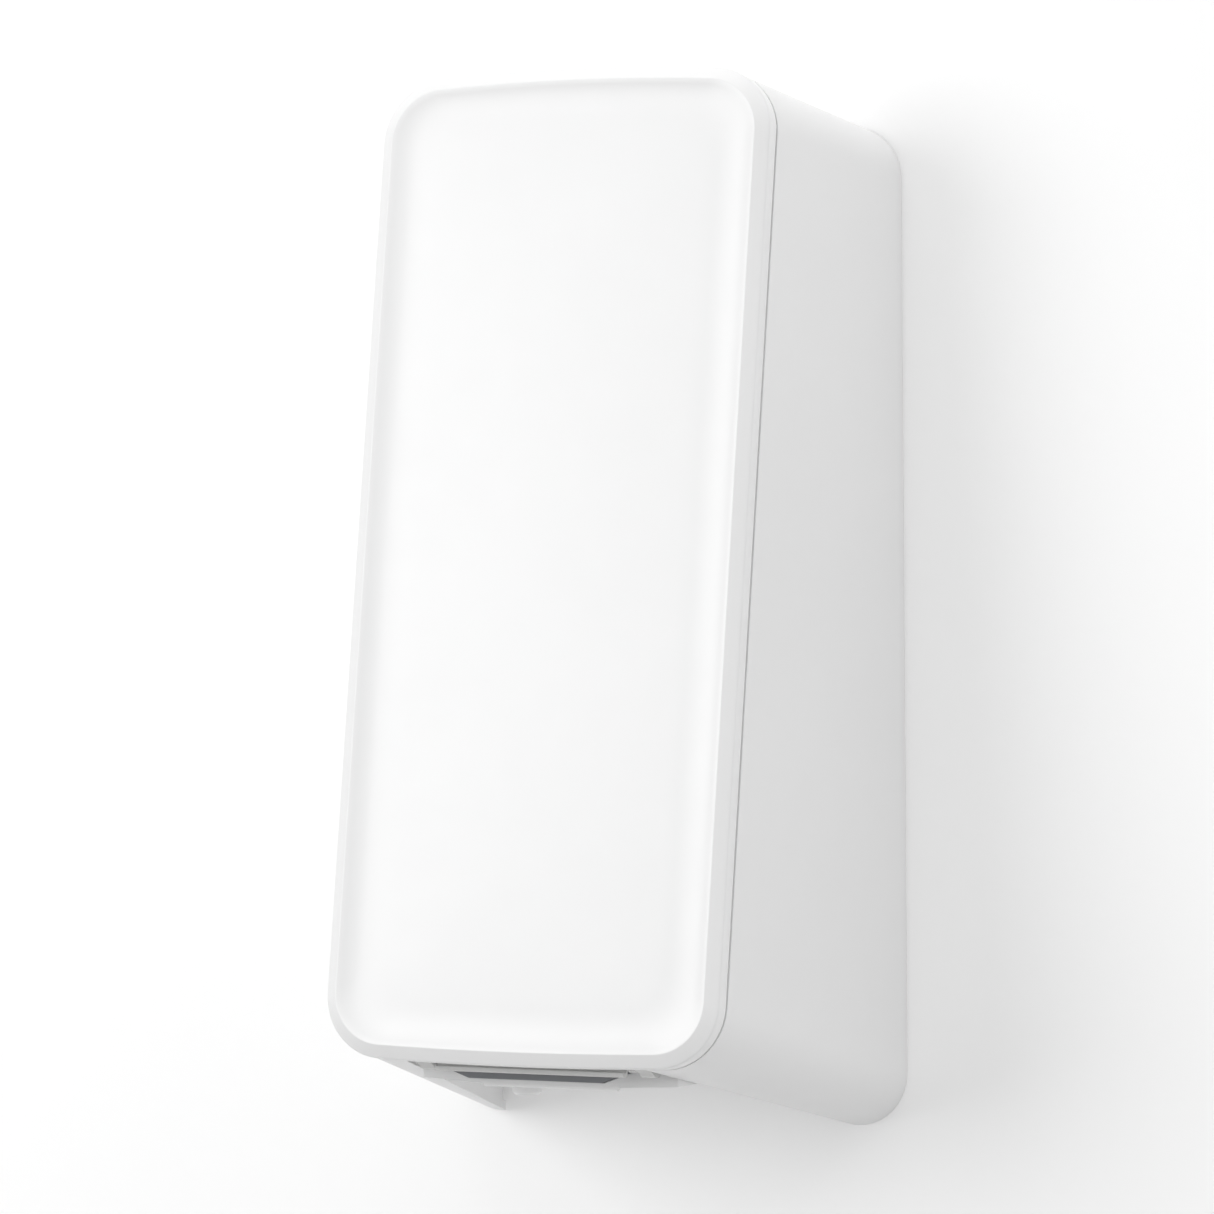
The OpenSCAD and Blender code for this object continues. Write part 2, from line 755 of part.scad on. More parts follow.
module infrared_pair() {
    color([0.25, 0.2, 0.3])
    for (x = sensor_x)
        translate([x, sensor_y, (window_z0 + window_z1) / 2])
            rotate([90, 0, 0]) {
                cylinder(h = 1, r = diode_r + 0.4, $fn = 32);
                cylinder(h = 3, r = diode_r, $fn = 32);
                translate([0, 0, 3]) sphere(r = diode_r, $fn = 32);
            }
}

// ---- door --------------------------------------------------------------------------------

floor_f = rim_depth - dish_d;

// Height of the dished face over the seam at an inset d: a slope that flattens into a low dome.
function dish_f(d) =
    let (u = min(1, (d - rim_bevel - 0.4) / dish_w), v = 1 - 2 * d / front_w)
    floor_f + dish_d * pow(1 - u, 3) - 0.02 + dome * (pow(1 - 2 * rim_bevel / front_w, 2) - v * v) * u;

// One ring of the face of the panel, drawn in by d and lying f in front of the seam.
function panel_ring(d, f) = [for (p = seam_outline(d)) [p[0], p[1], f]];

module front_panel() {
    slope = [0, 0.05, 0.11, 0.18, 0.27, 0.38, 0.54, 0.75, 1];
    color(white)
    on_door()
    difference() {
        loft(concat(
            [panel_ring(0.5, seam), panel_ring(0, seam + 0.5),
             panel_ring(0, rim_side), panel_ring(rim_bevel - 0.25, rim_depth - 0.1),
             panel_ring(rim_bevel, rim_depth)],
            [for (u = slope) panel_ring(rim_bevel + 0.4 + u * dish_w,
                dish_f(rim_bevel + 0.4 + u * dish_w))],
            [for (d = [22, 30, 40, 50]) panel_ring(d, dish_f(d))]));
        // pocket in the back, with bosses for the screws of the door frame
        translate([0, 0, -1])
            linear_extrude(1 + seam + panel_pocket)
                polygon(seam_outline(3));
        for (p = door_screw_at)
            translate([p[0], p[1], -1]) cylinder(h = 1 + floor_f - 1.2, r = 1.05, $fn = 24);
    }
}

door_screw_at = [for (x = [-1, 1], s = [-0.82, 0, 0.82]) [x * (front_w / 2 - 14), s * front_h / 2]];
frame_in = 3.4;
plate_f = seam + panel_pocket - 0.1;

module door_frame() {
    color(pale)
    difference() {
        union() {
            on_door() {
                // plate in the pocket of the panel
                translate([0, 0, plate_f - frame_t])
                    linear_extrude(frame_t) polygon(seam_outline(frame_in));
                // rim inside the mouth of the housing
                translate([0, 0, plate_f - frame_t - frame_rim])
                    linear_extrude(frame_rim + eps)
                        difference() {
                            polygon(seam_outline(frame_in + 0.4));
                            polygon(seam_outline(frame_in + 2.4));
                            // none at the lower corners, which swing past the front edge of the housing
                            translate([-front_w, -front_h]) square([2 * front_w, front_h / 2 + 24]);
                        }
                // cross ribs
                for (s = [-0.53, 0.03, 0.59] * front_h / 2)
                    translate([-front_w / 2 + 5, s - 0.8, plate_f - frame_t - frame_rim])
                        cube([front_w - 10, 1.6, frame_rim + eps]);
                for (x = [-1, 1])
                    translate([x * 24 - 0.8, -front_h / 2 + 16, plate_f - frame_t - frame_rim])
                        cube([1.6, front_h - 34, frame_rim + eps]);
                // lower lip behind the bottom edge of the panel, with a nose along its foot
                translate([-28, -front_h / 2 - 1.4, -5]) cube([56, 7.7, 1.2]);
                translate([-28, -front_h / 2 + 4.5, -5]) cube([56, 1.8, 5.6]);
                translate([-28, -front_h / 2 - 1.4, -4]) cube([56, 1.2, 1.6]);
                // hinge arms
                for (m = [0, 1]) mirror([m, 0, 0])
                    translate([arm_x0, 0, 0])
                        rotate([0, 90, 0])
                            linear_extrude(arm_x1 - arm_x0)
                                arm_profile();
                striker();
            }
            for (m = [0, 1]) mirror([m, 0, 0]) on_hinge(arm_x0, arm_x1, 3.4);
        }
        // room for the front edge of the housing while the door swings
        for (m = [0, 1]) mirror([m, 0, 0])
            on_hinge(arm_x1 + 0.8, front_w, sqrt(pow(hinge_in, 2) + pow(hinge_up, 2)) + 0.6);
        on_hinge(-arm_x1 - 1, arm_x1 + 1, pin_r + fit);
        on_door()
            for (p = door_screw_at)
                translate([p[0], p[1], -10]) cylinder(h = 20, r = 1.5, $fn = 24);
    }
}

// The side view of a hinge arm: x is towards the wall and y is up along the door.
module arm_profile() {
    polygon([[-plate_f + 0.2, hinge_s + 16], [-plate_f + 0.2, -front_h / 2 + 4.2],
             [-0.2, -front_h / 2 + 4.2], [0.6, hinge_s - 1],
             [hinge_in - 2, hinge_s - 2.6], [hinge_in + 3, hinge_s],
             [hinge_in + 1.5, hinge_s + 3], [frame_rim, hinge_s + 10], [frame_t, hinge_s + 16]]);
}

module door_screws() {
    color(steel)
    on_door()
        for (p = door_screw_at)
            translate([p[0], p[1], plate_f - frame_t])
                rotate([180, 0, 0]) screw(1, frame_t + 1.2, 2, 1.2);
}

module hinge_pins() {
    color(steel)
    for (m = [0, 1]) mirror([m, 0, 0]) {
        on_hinge(arm_x0 - 2.6, ear_x1 - 0.8, pin_r);
        on_hinge(arm_x0 - 3.6, arm_x0 - 0.4, pin_r + 1);
    }
}

// ---- shelf and bottle --------------------------------------------------------------------

shelf_x0 = bottle_x0 - 1;
shelf_x1 = bottle_x1 + 4;
shelf_front = -78;
cap_r = 13.4;
slot_r = cap_r + 1.5;

module bottle_shelf() {
    color(pale)
    difference() {
        union() {
            translate([shelf_x0, shelf_front, shelf_z - shelf_t])
                cube([shelf_x1 - shelf_x0, shelf_flange_y - shelf_front, shelf_t]);
            // flange on the wall plate
            translate([shelf_x0 + 4, shelf_flange_y - 2.5, shelf_z - eps])
                cube([shelf_x1 - shelf_x0 - 8, 2.5, 18]);
            // side guide by the battery case
            translate([shelf_x1 - 2, shelf_front + 8, shelf_z - eps])
                cube([2, 50, 14]);
            // gussets
            for (x = [shelf_x0 + 3, shelf_x1 - 5])
                translate([x, shelf_flange_y, shelf_z - shelf_t + eps])
                    rotate([90, 0, 90])
                        linear_extrude(2) polygon([[0, 0], [-60, 0], [0, -12]]);
            // rim around the neck opening
            translate([pump_x, -pump_y, shelf_z - shelf_t - 2])
                cylinder(h = 2 + eps, r = slot_r + 2);
        }
        translate([pump_x, -pump_y, shelf_z - shelf_t - 5]) cylinder(h = 20, r = slot_r);
        translate([pump_x - slot_r, -pump_y - 40, shelf_z - shelf_t - 5]) cube([2 * slot_r, 40, 20]);
        for (x = shelf_fix_x)
            translate([x, 0, shelf_fix_z]) to_front() cylinder(h = 20, r = screw_r + 0.1, $fn = 24);
    }
}

module shelf_screws() {
    color(steel)
    for (x = shelf_fix_x)
        translate([x, shelf_flange_y - 2.5, shelf_fix_z]) to_front() screw(screw_r - 0.17, -shelf_flange_y + 2.5 - plate_t - 1.2);
}

neck_r = cap_r - 2.4;
neck_in = neck_r - 1.6;
neck_end = shelf_z - 17;

// The body of the bottle, drawn in by d.
module bottle_body(d) {
    r = 9 - d;
    yb = -bottle_back - d;
    w = bottle_w - d;
    z0 = shelf_z + d;
    z1 = bottle_top - d;
    hull()
        for (x = [-1, 1]) {
            for (y = [yb - r, seam_y(z0) + bottle_gap + d + r])
                translate([bottle_x + x * (w - r), y, z0 + r])
                    sphere(r = r, $fn = 24);
            for (y = [yb - r, seam_y(z1) + bottle_gap + d + r])
                translate([bottle_x + x * (w - r), y, z1 - r])
                    sphere(r = r, $fn = 24);
        }
}

module soap_bottle() {
    color([0.93, 0.94, 0.92, 0.6])
    difference() {
        union() {
            bottle_body(0);
            translate([pump_x, -pump_y, neck_end]) cylinder(h = shelf_z - neck_end + 2, r = neck_r);
        }
        bottle_body(bottle_t);
        translate([pump_x, -pump_y, neck_end - 1]) cylinder(h = shelf_z - neck_end + 8, r = neck_in);
    }
}

cap_z0 = neck_end - 6;
cap_z1 = shelf_z - 4;
flange_h = 1.8;

module bottle_cap() {
    color(grey)
    translate([pump_x, -pump_y, 0])
    difference() {
        union() {
            translate([0, 0, cap_z0]) cylinder(h = cap_z1 - cap_z0, r = cap_r - 0.5);
            // grip ribs
            for (k = [0:23])
                rotate([0, 0, k * 15])
                    translate([cap_r - 1, -0.6, cap_z0 + 1]) cube([1, 1.2, cap_z1 - cap_z0 - 2]);
        }
        translate([0, 0, neck_end - flange_h - 0.2]) cylinder(h = 40, r = neck_r + 0.15);
        translate([0, 0, cap_z0 - 1]) cylinder(h = 20, r = bore_r + pump_t + 0.3);
    }
}

pump_z0 = base_z + 23.5;
chamber_top = neck_end - 5;
ball_r = 3;

module pump_cylinder() {
    or = bore_r + pump_t;
    color([0.9, 0.92, 0.94])
    translate([pump_x, -pump_y, 0])
    difference() {
        union() {
            translate([0, 0, pump_z0]) cylinder(h = neck_end - pump_z0 - 0.1, r = or);
            translate([0, 0, neck_end - flange_h - 0.1]) cylinder(h = flange_h, r = neck_r);
            translate([0, 0, neck_end - eps - 0.1]) cylinder(h = 8, r = neck_in - 0.2);
        }
        translate([0, 0, pump_z0 - 1]) cylinder(h = chamber_top - pump_z0 + 1, r = bore_r);
        // ball cage and inlet
        translate([0, 0, chamber_top - eps]) cylinder(h = 7, r = ball_r + 0.6);
        translate([0, 0, chamber_top + 6]) cylinder(h = 12, r = 2.2);
        for (a = [0, 90])
            rotate([0, 0, a]) translate([-1, -bore_r - 1, neck_end + 5]) cube([2, 2 * bore_r + 2, 6]);
    }
}

module inlet_ball() {
    color(steel)
    translate([pump_x, -pump_y, chamber_top + 6.9 - ball_r - 0.25]) sphere(r = ball_r);
}

collar_z = base_z + 9.5;
collar_t = 2.5;
collar_r = 12.5;
head_z = base_z + 28.5;
head_h = 7;
duct_r = 1.4;
spigot_r = 2.6;

module pump_piston() {
    color(white)
    translate([pump_x, -pump_y, 0])
    difference() {
        union() {
            translate([0, 0, collar_z]) cylinder(h = collar_t, r = collar_r);
            translate([0, 0, collar_z]) cylinder(h = head_z - collar_z + 1, r = 4.6);
            translate([0, 0, head_z]) cylinder(h = head_h, r = bore_r - fit);
            translate([0, 0, collar_z - 9]) cylinder(h = 10, r = spigot_r);
        }
        translate([0, 0, collar_z - 20]) cylinder(h = 60, r = duct_r);
        // groove for the seal
        translate([0, 0, head_z + 2])
            difference() {
                cylinder(h = 3, r = bore_r + 2);
                translate([0, 0, -1]) cylinder(h = 5, r = bore_r - 1.8);
            }
    }
}

module piston_seal() {
    color(dark)
    translate([pump_x, -pump_y, head_z + 2 + 1.5])
        rotate_extrude()
            translate([bore_r - 0.06 - 0.8, 0]) circle(r = 0.8, $fn = 24);
}

module pump_spring() {
    color(steel)
    translate([pump_x, -pump_y, collar_z + collar_t + 0.1])
        coil(bore_r + pump_t + 1.2, 0.5, cap_z0 - collar_z - collar_t - 0.2, 8, 20, 6);
}

nozzle_z = base_z - nozzle_drop;

module nozzle() {
    z0 = nozzle_z;
    z1 = collar_z - 0.2;
    color(white)
    translate([pump_x, -pump_y, 0])
    difference() {
        rotate_extrude()
            polygon([[0, z0], [nozzle_r - 0.8, z0], [nozzle_r, z0 + 0.8], [nozzle_r, z1], [0, z1]]);
        translate([0, 0, z0 + 1.4]) cylinder(h = 40, r = spigot_r + 0.02);
        translate([0, 0, z0 - 1]) cylinder(h = 5, r = 1.2);
    }
}

module outlet_valve() {
    z0 = nozzle_z + 1.5;
    z1 = collar_z - 9 - 0.1;
    color(dark)
    translate([pump_x, -pump_y, 0])
    difference() {
        translate([0, 0, z0]) cylinder(h = z1 - z0, r = spigot_r - 0.1);
        translate([0, 0, z0 + 0.6]) cylinder(h = 10, r = 1.6);
        translate([-1.2, -0.15, z0 - 1]) cube([2.4, 0.3, 4]);
    }
}

// ---- gears -------------------------------------------------------------------------------

press = 25;          // pressure angle
add = 0.95;          // addendum in modules
ded = 1.2;           // dedendum in modules
lash = 0.12;         // play taken off each tooth at the pitch line

function involute(rb, r) = let (a = acos(min(1, rb / r))) tan(a) * 180 / PI - a;

// Points of a spur gear with n teeth of module m, one tooth centred on +X.
function gear_points(n, m) =
    let (rp = n * m / 2, rb = rp * cos(press), ra = rp + add * m, rf = rp - ded * m,
         half = 90 / n - lash / 2 / rp * 180 / PI,
         r0 = max(rb, rf) + 0.001, steps = 5)
    [for (i = [0:n - 1])
        let (c = 360 * i / n,
             flank = [for (k = [0:steps])
                 let (r = r0 + (ra - r0) * k / steps)
                 [r, half + involute(rb, rp) - involute(rb, r)]],
             root = [rf, half + involute(rb, rp) - involute(rb, r0)])
        each concat(
            [rf * [cos(c - root[1]), sin(c - root[1])]],
            [for (p = flank) p[0] * [cos(c - p[1]), sin(c - p[1])]],
            [for (k = [steps:-1:0]) flank[k][0] * [cos(c + flank[k][1]), sin(c + flank[k][1])]],
            [rf * [cos(c + root[1]), sin(c + root[1])]])];

// A spur gear of height h turned by a, its axis along Y from y0 towards the room.
module gear_at(n, m, h, a) {
    rotate([90, 0, 0])
        rotate([0, 0, a])
            linear_extrude(h) polygon(gear_points(n, m));
}

rack_r = rack_teeth * gear_m / 2;
output_r = output_teeth * gear_m / 2;
idler_small_r = idler_small * gear_m / 2;
idler_big_r = idler_big * motor_m / 2;
motor_pinion_r = motor_teeth * motor_m / 2;

drive_z = base_z + 33.5;
output_x = rack_x + rack_r;
idler_x = output_x + output_r + idler_small_r;
motor_angle = 75;
motor_dist = idler_big_r + motor_pinion_r;
motor_x = idler_x + motor_dist * cos(motor_angle);
motor_z = drive_z + motor_dist * sin(motor_angle);

// layers, as distances from the wall towards the room
case_floor_y = -48.5;
case_floor_t = 2.5;
pinion_y = -54;
pinion_h = 4.6;
idler_big_y = -54.4;
idler_big_h = 4;
wheel_y = -59.4;
wheel_h = 4;
rack_y = -64.6;
rack_h = 7;
cover_t = 2;

module output_gear() {
    // a tooth of the rack pinion points at the rack, at 180 degrees
    a_rack = 180;
    // a tooth of the wheel points along +X, at the idler
    color(nylon)
    translate([output_x, 0, drive_z])
    difference() {
        union() {
            translate([0, wheel_y, 0]) gear_at(output_teeth, gear_m, wheel_h, 0);
            translate([0, wheel_y - wheel_h + eps, 0])
                rotate([90, 0, 0]) cylinder(h = wheel_y - wheel_h - rack_y + 2 * eps, r = rack_r - 1.6);
            translate([0, rack_y, 0]) gear_at(rack_teeth, gear_m, rack_h, a_rack);
            translate([0, case_floor_y - case_floor_t - 0.3, 0])
                rotate([90, 0, 0]) cylinder(h = case_floor_y - case_floor_t - wheel_y, r = 3);
            translate([0, rack_y - rack_h + eps, 0]) rotate([90, 0, 0]) cylinder(h = 2, r = 3);
        }
        rotate([90, 0, 0]) cylinder(h = 100, r = shaft_r + fit);
        // lightening holes in the wheel
        for (k = [0:4])
            rotate([0, k * 72 + 20, 0])
                translate([output_r * 0.63, wheel_y + 1, 0])
                    rotate([90, 0, 0]) cylinder(h = wheel_h + 2, r = 2.2, $fn = 24);
    }
}

module idler_gear() {
    // a gap of the idler pinion points at the output wheel, at 180 degrees
    a_small = 180 + 180 / idler_small;
    // a tooth of the big wheel points at the motor pinion
    a_big = motor_angle;
    color(nylon)
    translate([idler_x, 0, drive_z])
    difference() {
        union() {
            translate([0, idler_big_y, 0]) gear_at(idler_big, motor_m, idler_big_h, a_big);
            translate([0, idler_big_y - idler_big_h + eps, 0])
                gear_at(idler_small, gear_m, wheel_h + 1.2, a_small);
            translate([0, case_floor_y - case_floor_t - 0.3, 0])
                rotate([90, 0, 0]) cylinder(h = 4, r = 3);
            translate([0, idler_big_y - idler_big_h - wheel_h - 1.1, 0])
                rotate([90, 0, 0]) cylinder(h = 9.9, r = 3);
        }
        rotate([90, 0, 0]) cylinder(h = 100, r = shaft_r + fit);
        for (k = [0:4])
            rotate([0, k * 72 + 10, 0])
                translate([idler_big_r * 0.66, idler_big_y + 1, 0])
                    rotate([90, 0, 0]) cylinder(h = idler_big_h + 2, r = 2, $fn = 24);
    }
}

motor_shaft_r = 1;

module motor_pinion() {
    // a gap points back at the idler
    a = motor_angle + 180 + 180 / motor_teeth;
    color(brass)
    translate([motor_x, 0, motor_z])
    difference() {
        translate([0, pinion_y, 0]) gear_at(motor_teeth, motor_m, pinion_h, a);
        translate([0, pinion_y + 1, 0]) rotate([90, 0, 0]) cylinder(h = 20, r = motor_shaft_r + 0.02, $fn = 24);
    }
}

motor_y = case_floor_y + gap;
bearing_l = 6;

module motor_shaft() {
    color(steel)
    translate([motor_x, motor_y + bearing_l, motor_z])
        rotate([90, 0, 0]) cylinder(h = motor_y + bearing_l - pinion_y + pinion_h - 0.4, r = motor_shaft_r);
}

module motor() {
    yb = motor_y;
    color(steel)
    translate([motor_x, 0, motor_z])
    difference() {
      union() {
        intersection() {
            translate([0, yb + motor_l, 0]) rotate([90, 0, 0]) cylinder(h = motor_l, r = motor_r);
            translate([-motor_r, yb, -motor_r * 0.8]) cube([2 * motor_r, motor_l, motor_r * 1.6]);
        }
        translate([0, yb + eps, 0]) rotate([90, 0, 0]) cylinder(h = 2, r = 3, $fn = 32);
        translate([0, yb + motor_l - eps, 0]) rotate([-90, 0, 0]) cylinder(h = 1.6, r = 2.6, $fn = 32);
        // terminals
        for (x = [-4.5, 4.5])
            translate([x - 1, yb + motor_l - eps, -0.25]) cube([2, 3, 0.5]);
      }
      translate([0, yb + bearing_l + 0.3, 0]) rotate([90, 0, 0]) cylinder(h = 20, r = motor_shaft_r + fit);
    }
}

module gear_shafts() {
    color(steel)
    for (x = [output_x, idler_x])
        translate([x, case_floor_y - 0.6, drive_z])
            rotate([90, 0, 0]) cylinder(h = case_floor_y - 0.6 - cover_y + cover_t - 0.6, r = shaft_r);
}

// ---- lift fork ---------------------------------------------------------------------------

box_x0 = rack_x - 12.4;
box_z1 = box_z0 + 50;
box_wall = 1.8;
box_cut = 8;

fork_z = collar_z - 0.4;
fork_t = 3.1;
bar_x0 = rack_x - 8;
bar_y0 = rack_y - rack_h;
fork_top = box_z1 - box_wall - stroke - 1;

module rack_teeth_profile() {
    p = PI * gear_m;
    root = rack_x - ded * gear_m;
    tip = rack_x + add * gear_m;
    w = p / 4 - lash / 2;
    k0 = -6;
    k1 = 2;
    // a gap of the rack faces the pinion's tooth at the height of its axis
    polygon(concat(
        [[bar_x0, drive_z + (k0 - 0.1) * p], [root, drive_z + (k0 - 0.1) * p]],
        [for (k = [k0:k1])
            let (c = drive_z + (k + 0.5) * p)
            each [[root, c - w - ded * gear_m * tan(press)], [tip, c - w + add * gear_m * tan(press)],
                  [tip, c + w - add * gear_m * tan(press)], [root, c + w + ded * gear_m * tan(press)]]],
        [[root, fork_top], [bar_x0, fork_top]]));
}

module lift_fork() {
    color(nylon)
    difference() {
        union() {
            // rack
            translate([0, rack_y, 0]) rotate([90, 0, 0]) linear_extrude(rack_h) rack_teeth_profile();
            translate([bar_x0, bar_y0, fork_z - fork_t])
                cube([rack_x - ded * gear_m - bar_x0, rack_h, 16]);
            // fork
            translate([pump_x, -pump_y, fork_z - fork_t]) cylinder(h = fork_t, r = 10.5);
            translate([pump_x, bar_y0, fork_z - fork_t]) cube([bar_x0 - pump_x + 1, rack_h, fork_t]);
            // web between the fork and the rack
            translate([bar_x0 + 0.5, bar_y0 + rack_h / 2 + 1, fork_z - eps])
                rotate([90, 0, 0]) linear_extrude(2)
                    polygon([[0, 0], [0, 8], [-4.6, 0]]);
        }
        translate([pump_x, -pump_y, fork_z - fork_t - 1]) cylinder(h = 10, r = nozzle_r + 0.7);
        translate([pump_x - nozzle_r - 0.7, -pump_y - 20, fork_z - fork_t - 1])
            cube([2 * nozzle_r + 1.4, 20, 10]);
    }
}

// ---- gearbox -----------------------------------------------------------------------------

box_screws = [[rack_x + 2.7, box_z1 - 4], [box_x1 - 4, box_z1 - 4],
    [box_x1 - 8.8, box_z0 + 3.6], [box_x1 - 26.8, box_z0 + 3.4]];

// The front view of the gearbox, drawn in by d, with its lower outer corner cut off.
module box_outline(d) {
    c = box_cut - 0.6 * d;
    polygon([[box_x0 + d, box_z0 + d], [box_x1 - c - d, box_z0 + d], [box_x1 - d, box_z0 + c + d],
             [box_x1 - d, box_z1 - d], [box_x0 + d, box_z1 - d]]);
}

module gearbox_case() {
    color(grey)
    difference() {
        union() {
            difference() {
                translate([0, case_floor_y, 0])
                    to_front() linear_extrude(case_floor_y - cover_y) box_outline(0);
                translate([0, case_floor_y - case_floor_t, 0])
                    to_front() linear_extrude(case_floor_y - cover_y) box_outline(box_wall);
            }
            // screw bosses in the corners
            for (p = box_screws)
                translate([p[0], case_floor_y - 1, p[1]])
                    rotate([90, 0, 0]) cylinder(h = case_floor_y - 1 - cover_y, r = 2.6, $fn = 32);
            // bosses over the posts of the base plate
            for (p = post)
                translate([p[0], p[1], box_z0]) cylinder(h = 6, r = 3, $fn = 32);
            // guide behind the top of the rack
            translate([bar_x0 - 1.4, rack_y + gap, drive_z + output_r + add * gear_m + 0.6])
                cube([5, case_floor_y - case_floor_t - rack_y - gap + 0.5,
                      box_z1 - drive_z - output_r - add * gear_m - 1.6]);
        }
        for (p = box_screws)
            translate([p[0], case_floor_y - 8, p[1]])
                rotate([90, 0, 0]) cylinder(h = 40, r = screw_r - 0.35, $fn = 24);
        // blind seats of the shafts and the hole for the motor
        for (x = [output_x, idler_x])
            translate([x, case_floor_y - 0.6, drive_z])
                rotate([90, 0, 0]) cylinder(h = 10, r = shaft_r + 0.02);
        translate([motor_x, case_floor_y + 1, motor_z])
            rotate([90, 0, 0]) cylinder(h = 10, r = 3.2);
        for (x = [-6.5, 6.5])
            translate([motor_x + x, case_floor_y + 1, motor_z])
                rotate([90, 0, 0]) cylinder(h = 10, r = 1.1, $fn = 24);
        // way of the fork through the bottom and the side
        translate([box_x0 - 1, bar_y0 - gap, box_z0 - 1])
            cube([rack_x + 1.4 - box_x0, rack_h + 2 * gap, box_wall + 2]);
        translate([box_x0 - 1, bar_y0 - gap, box_z0 - 1])
            cube([box_wall + 2, rack_h + 2 * gap, 20]);
        for (p = post)
            translate([p[0], p[1], box_z0 - 1]) cylinder(h = 6, r = screw_r - 0.15, $fn = 24);
    }
}

module gearbox_cover() {
    color(grey)
    difference() {
        union() {
            translate([0, cover_y, 0])
                to_front() linear_extrude(cover_t) box_outline(0);
            // raised bosses over the shafts
            for (x = [output_x, idler_x])
                translate([x, cover_y - cover_t + eps, drive_z])
                    rotate([90, 0, 0]) cylinder(h = 1.2, r = 4, $fn = 32);
        }
        for (x = [output_x, idler_x])
            translate([x, cover_y + 1, drive_z])
                rotate([90, 0, 0]) cylinder(h = 1 + cover_t - 0.4, r = shaft_r + 0.02);
        for (p = box_screws)
            translate([p[0], cover_y + 1, p[1]])
                rotate([90, 0, 0]) cylinder(h = 10, r = screw_r + 0.1, $fn = 24);
    }
}

module gearbox_screws() {
    color(steel)
    for (p = box_screws)
        translate([p[0], cover_y - cover_t, p[1]]) to_front() screw(screw_r - 0.4, 10);
}

// ---- battery case ------------------------------------------------------------------------

cell_y = [case_back - case_wall - 0.3 - cell_r, case_back - case_wall - 0.9 - 3 * cell_r];
cell_z0 = case_z + 3.4;
case_x0 = case_x - case_w / 2;
cover_slide = 55;

module battery_case() {
    color(grey)
    difference() {
        union() {
            translate([case_x0, case_back - case_d, case_z]) cube([case_w, case_d, case_h]);
            // rails for the cover
            for (s = [-1, 1])
                translate([case_x + s * (case_w / 2 + 0.6) - 1.4, case_back - case_d - 2.8, case_z])
                    cube([2.8, 6.8, case_h]);
        }
        translate([case_x0 + case_wall, case_back - case_d - 5, case_z + 1.6])
            cube([case_w - 2 * case_wall, case_d + 5 - case_wall, case_h - 3.2]);
        // groove of the cover, open at the top
        translate([case_x0 - 0.3, case_back - case_d - 2, case_z + 1.6])
            cube([case_w + 0.6, 2, case_h + 10]);
        translate([case_x0 + case_wall, case_back - case_d - 5, case_z + 1.6])
            cube([case_w - 2 * case_wall, 5, case_h + 10]);
        for (z = [case_z + 12, case_z + case_h - 12])
            translate([case_x, case_back + 1, z])
                rotate([90, 0, 0]) cylinder(h = 5, r = screw_r + 0.1, $fn = 24);
    }
}

module battery_cover() {
    color(pale)
    union() {
        translate([case_x0, case_back - case_d - 1.7, case_z + 1.9])
            cube([case_w, 1.4, case_h - 2]);
        // grip
        for (k = [0:3])
            translate([case_x - 5, case_back - case_d - 2.5, case_z + case_h - 20 + 3 * k])
                cube([10, 1, 1.4]);
    }
}

module battery_cells() {
    color([0.2, 0.22, 0.25])
    for (y = cell_y, k = [0, 1])
        translate([case_x, y, cell_z0 + k * (cell_l + 0.4)]) {
            cylinder(h = cell_l - 1.2, r = cell_r);
            translate([0, 0, cell_l - 1.2 - eps]) cylinder(h = 1.2, r = 2.6, $fn = 32);
        }
}

module battery_contacts() {
    color(brass) {
        for (y = cell_y) {
            translate([case_x - 5, y - 5, case_z + 1.7]) cube([10, 10, 0.4]);
            translate([case_x, y, case_z + 2.1 - eps]) cylinder(h = 1.2, r1 = 4, r2 = 2.4);
        }
        translate([case_x - 5, cell_y[1] - 5, case_z + case_h - 2.4]) cube([10, cell_y[0] - cell_y[1] + 10, 0.5]);
        for (y = cell_y)
            translate([case_x, y, cell_z0 + 2 * cell_l + 0.5])
                cylinder(h = case_z + case_h - 2.3 - cell_z0 - 2 * cell_l - 0.5, r = 2.2, $fn = 32);
    }
}

// ---- control board -----------------------------------------------------------------------

module control_board() {
    color(green)
    difference() {
        translate([board_x0, board_y - board_t, board_z0])
            cube([board_x1 - board_x0, board_t, board_z1 - board_z0]);
        for (p = board_pins)
            translate([p[0], 0, p[1]]) to_front() cylinder(h = 40, r = 1.3, $fn = 24);
    }
}

module board_parts() {
    y = board_y - board_t;
    color(dark) {
        // controller, driver, connectors and a capacitor
        translate([board_x0 + 11, y - 1.4, board_z0 + 16]) cube([9, 1.4, 9]);
        translate([board_x0 + 27, y - 1.6, board_z0 + 10]) cube([6, 1.6, 5]);
        translate([board_x0 + 7, y - 6, board_z0 + 2]) cube([14, 6, 5]);
        translate([board_x0 + 27, y - 6, board_z0 + 2]) cube([10, 6, 5]);
        translate([board_x0 + 11, y, board_z0 + 36]) rotate([90, 0, 0]) cylinder(h = 7, r = 3);
        translate([board_x0 + 41, y - 2.2, board_z0 + 10]) cube([5, 2.2, 7]);
    }
}

wall_plate();
housing_shell();
housing_screws();
base_plate();
base_screws();
sensor_window();
sensor_board();
infrared_pair();
front_panel();
door_frame();
door_screws();
hinge_pins();
lock_bracket();
lock_screws();
lock_barrel();
lock_cam();
cam_screw();
bottle_shelf();
shelf_screws();
soap_bottle();
bottle_cap();
pump_cylinder();
inlet_ball();
pump_piston();
piston_seal();
pump_spring();
nozzle();
outlet_valve();
lift_fork();
gearbox_case();
gearbox_cover();
gearbox_screws();
gear_shafts();
output_gear();
idler_gear();
motor_pinion();
motor_shaft();
motor();
battery_case();
battery_cover();
battery_cells();
battery_contacts();
control_board();
board_parts();
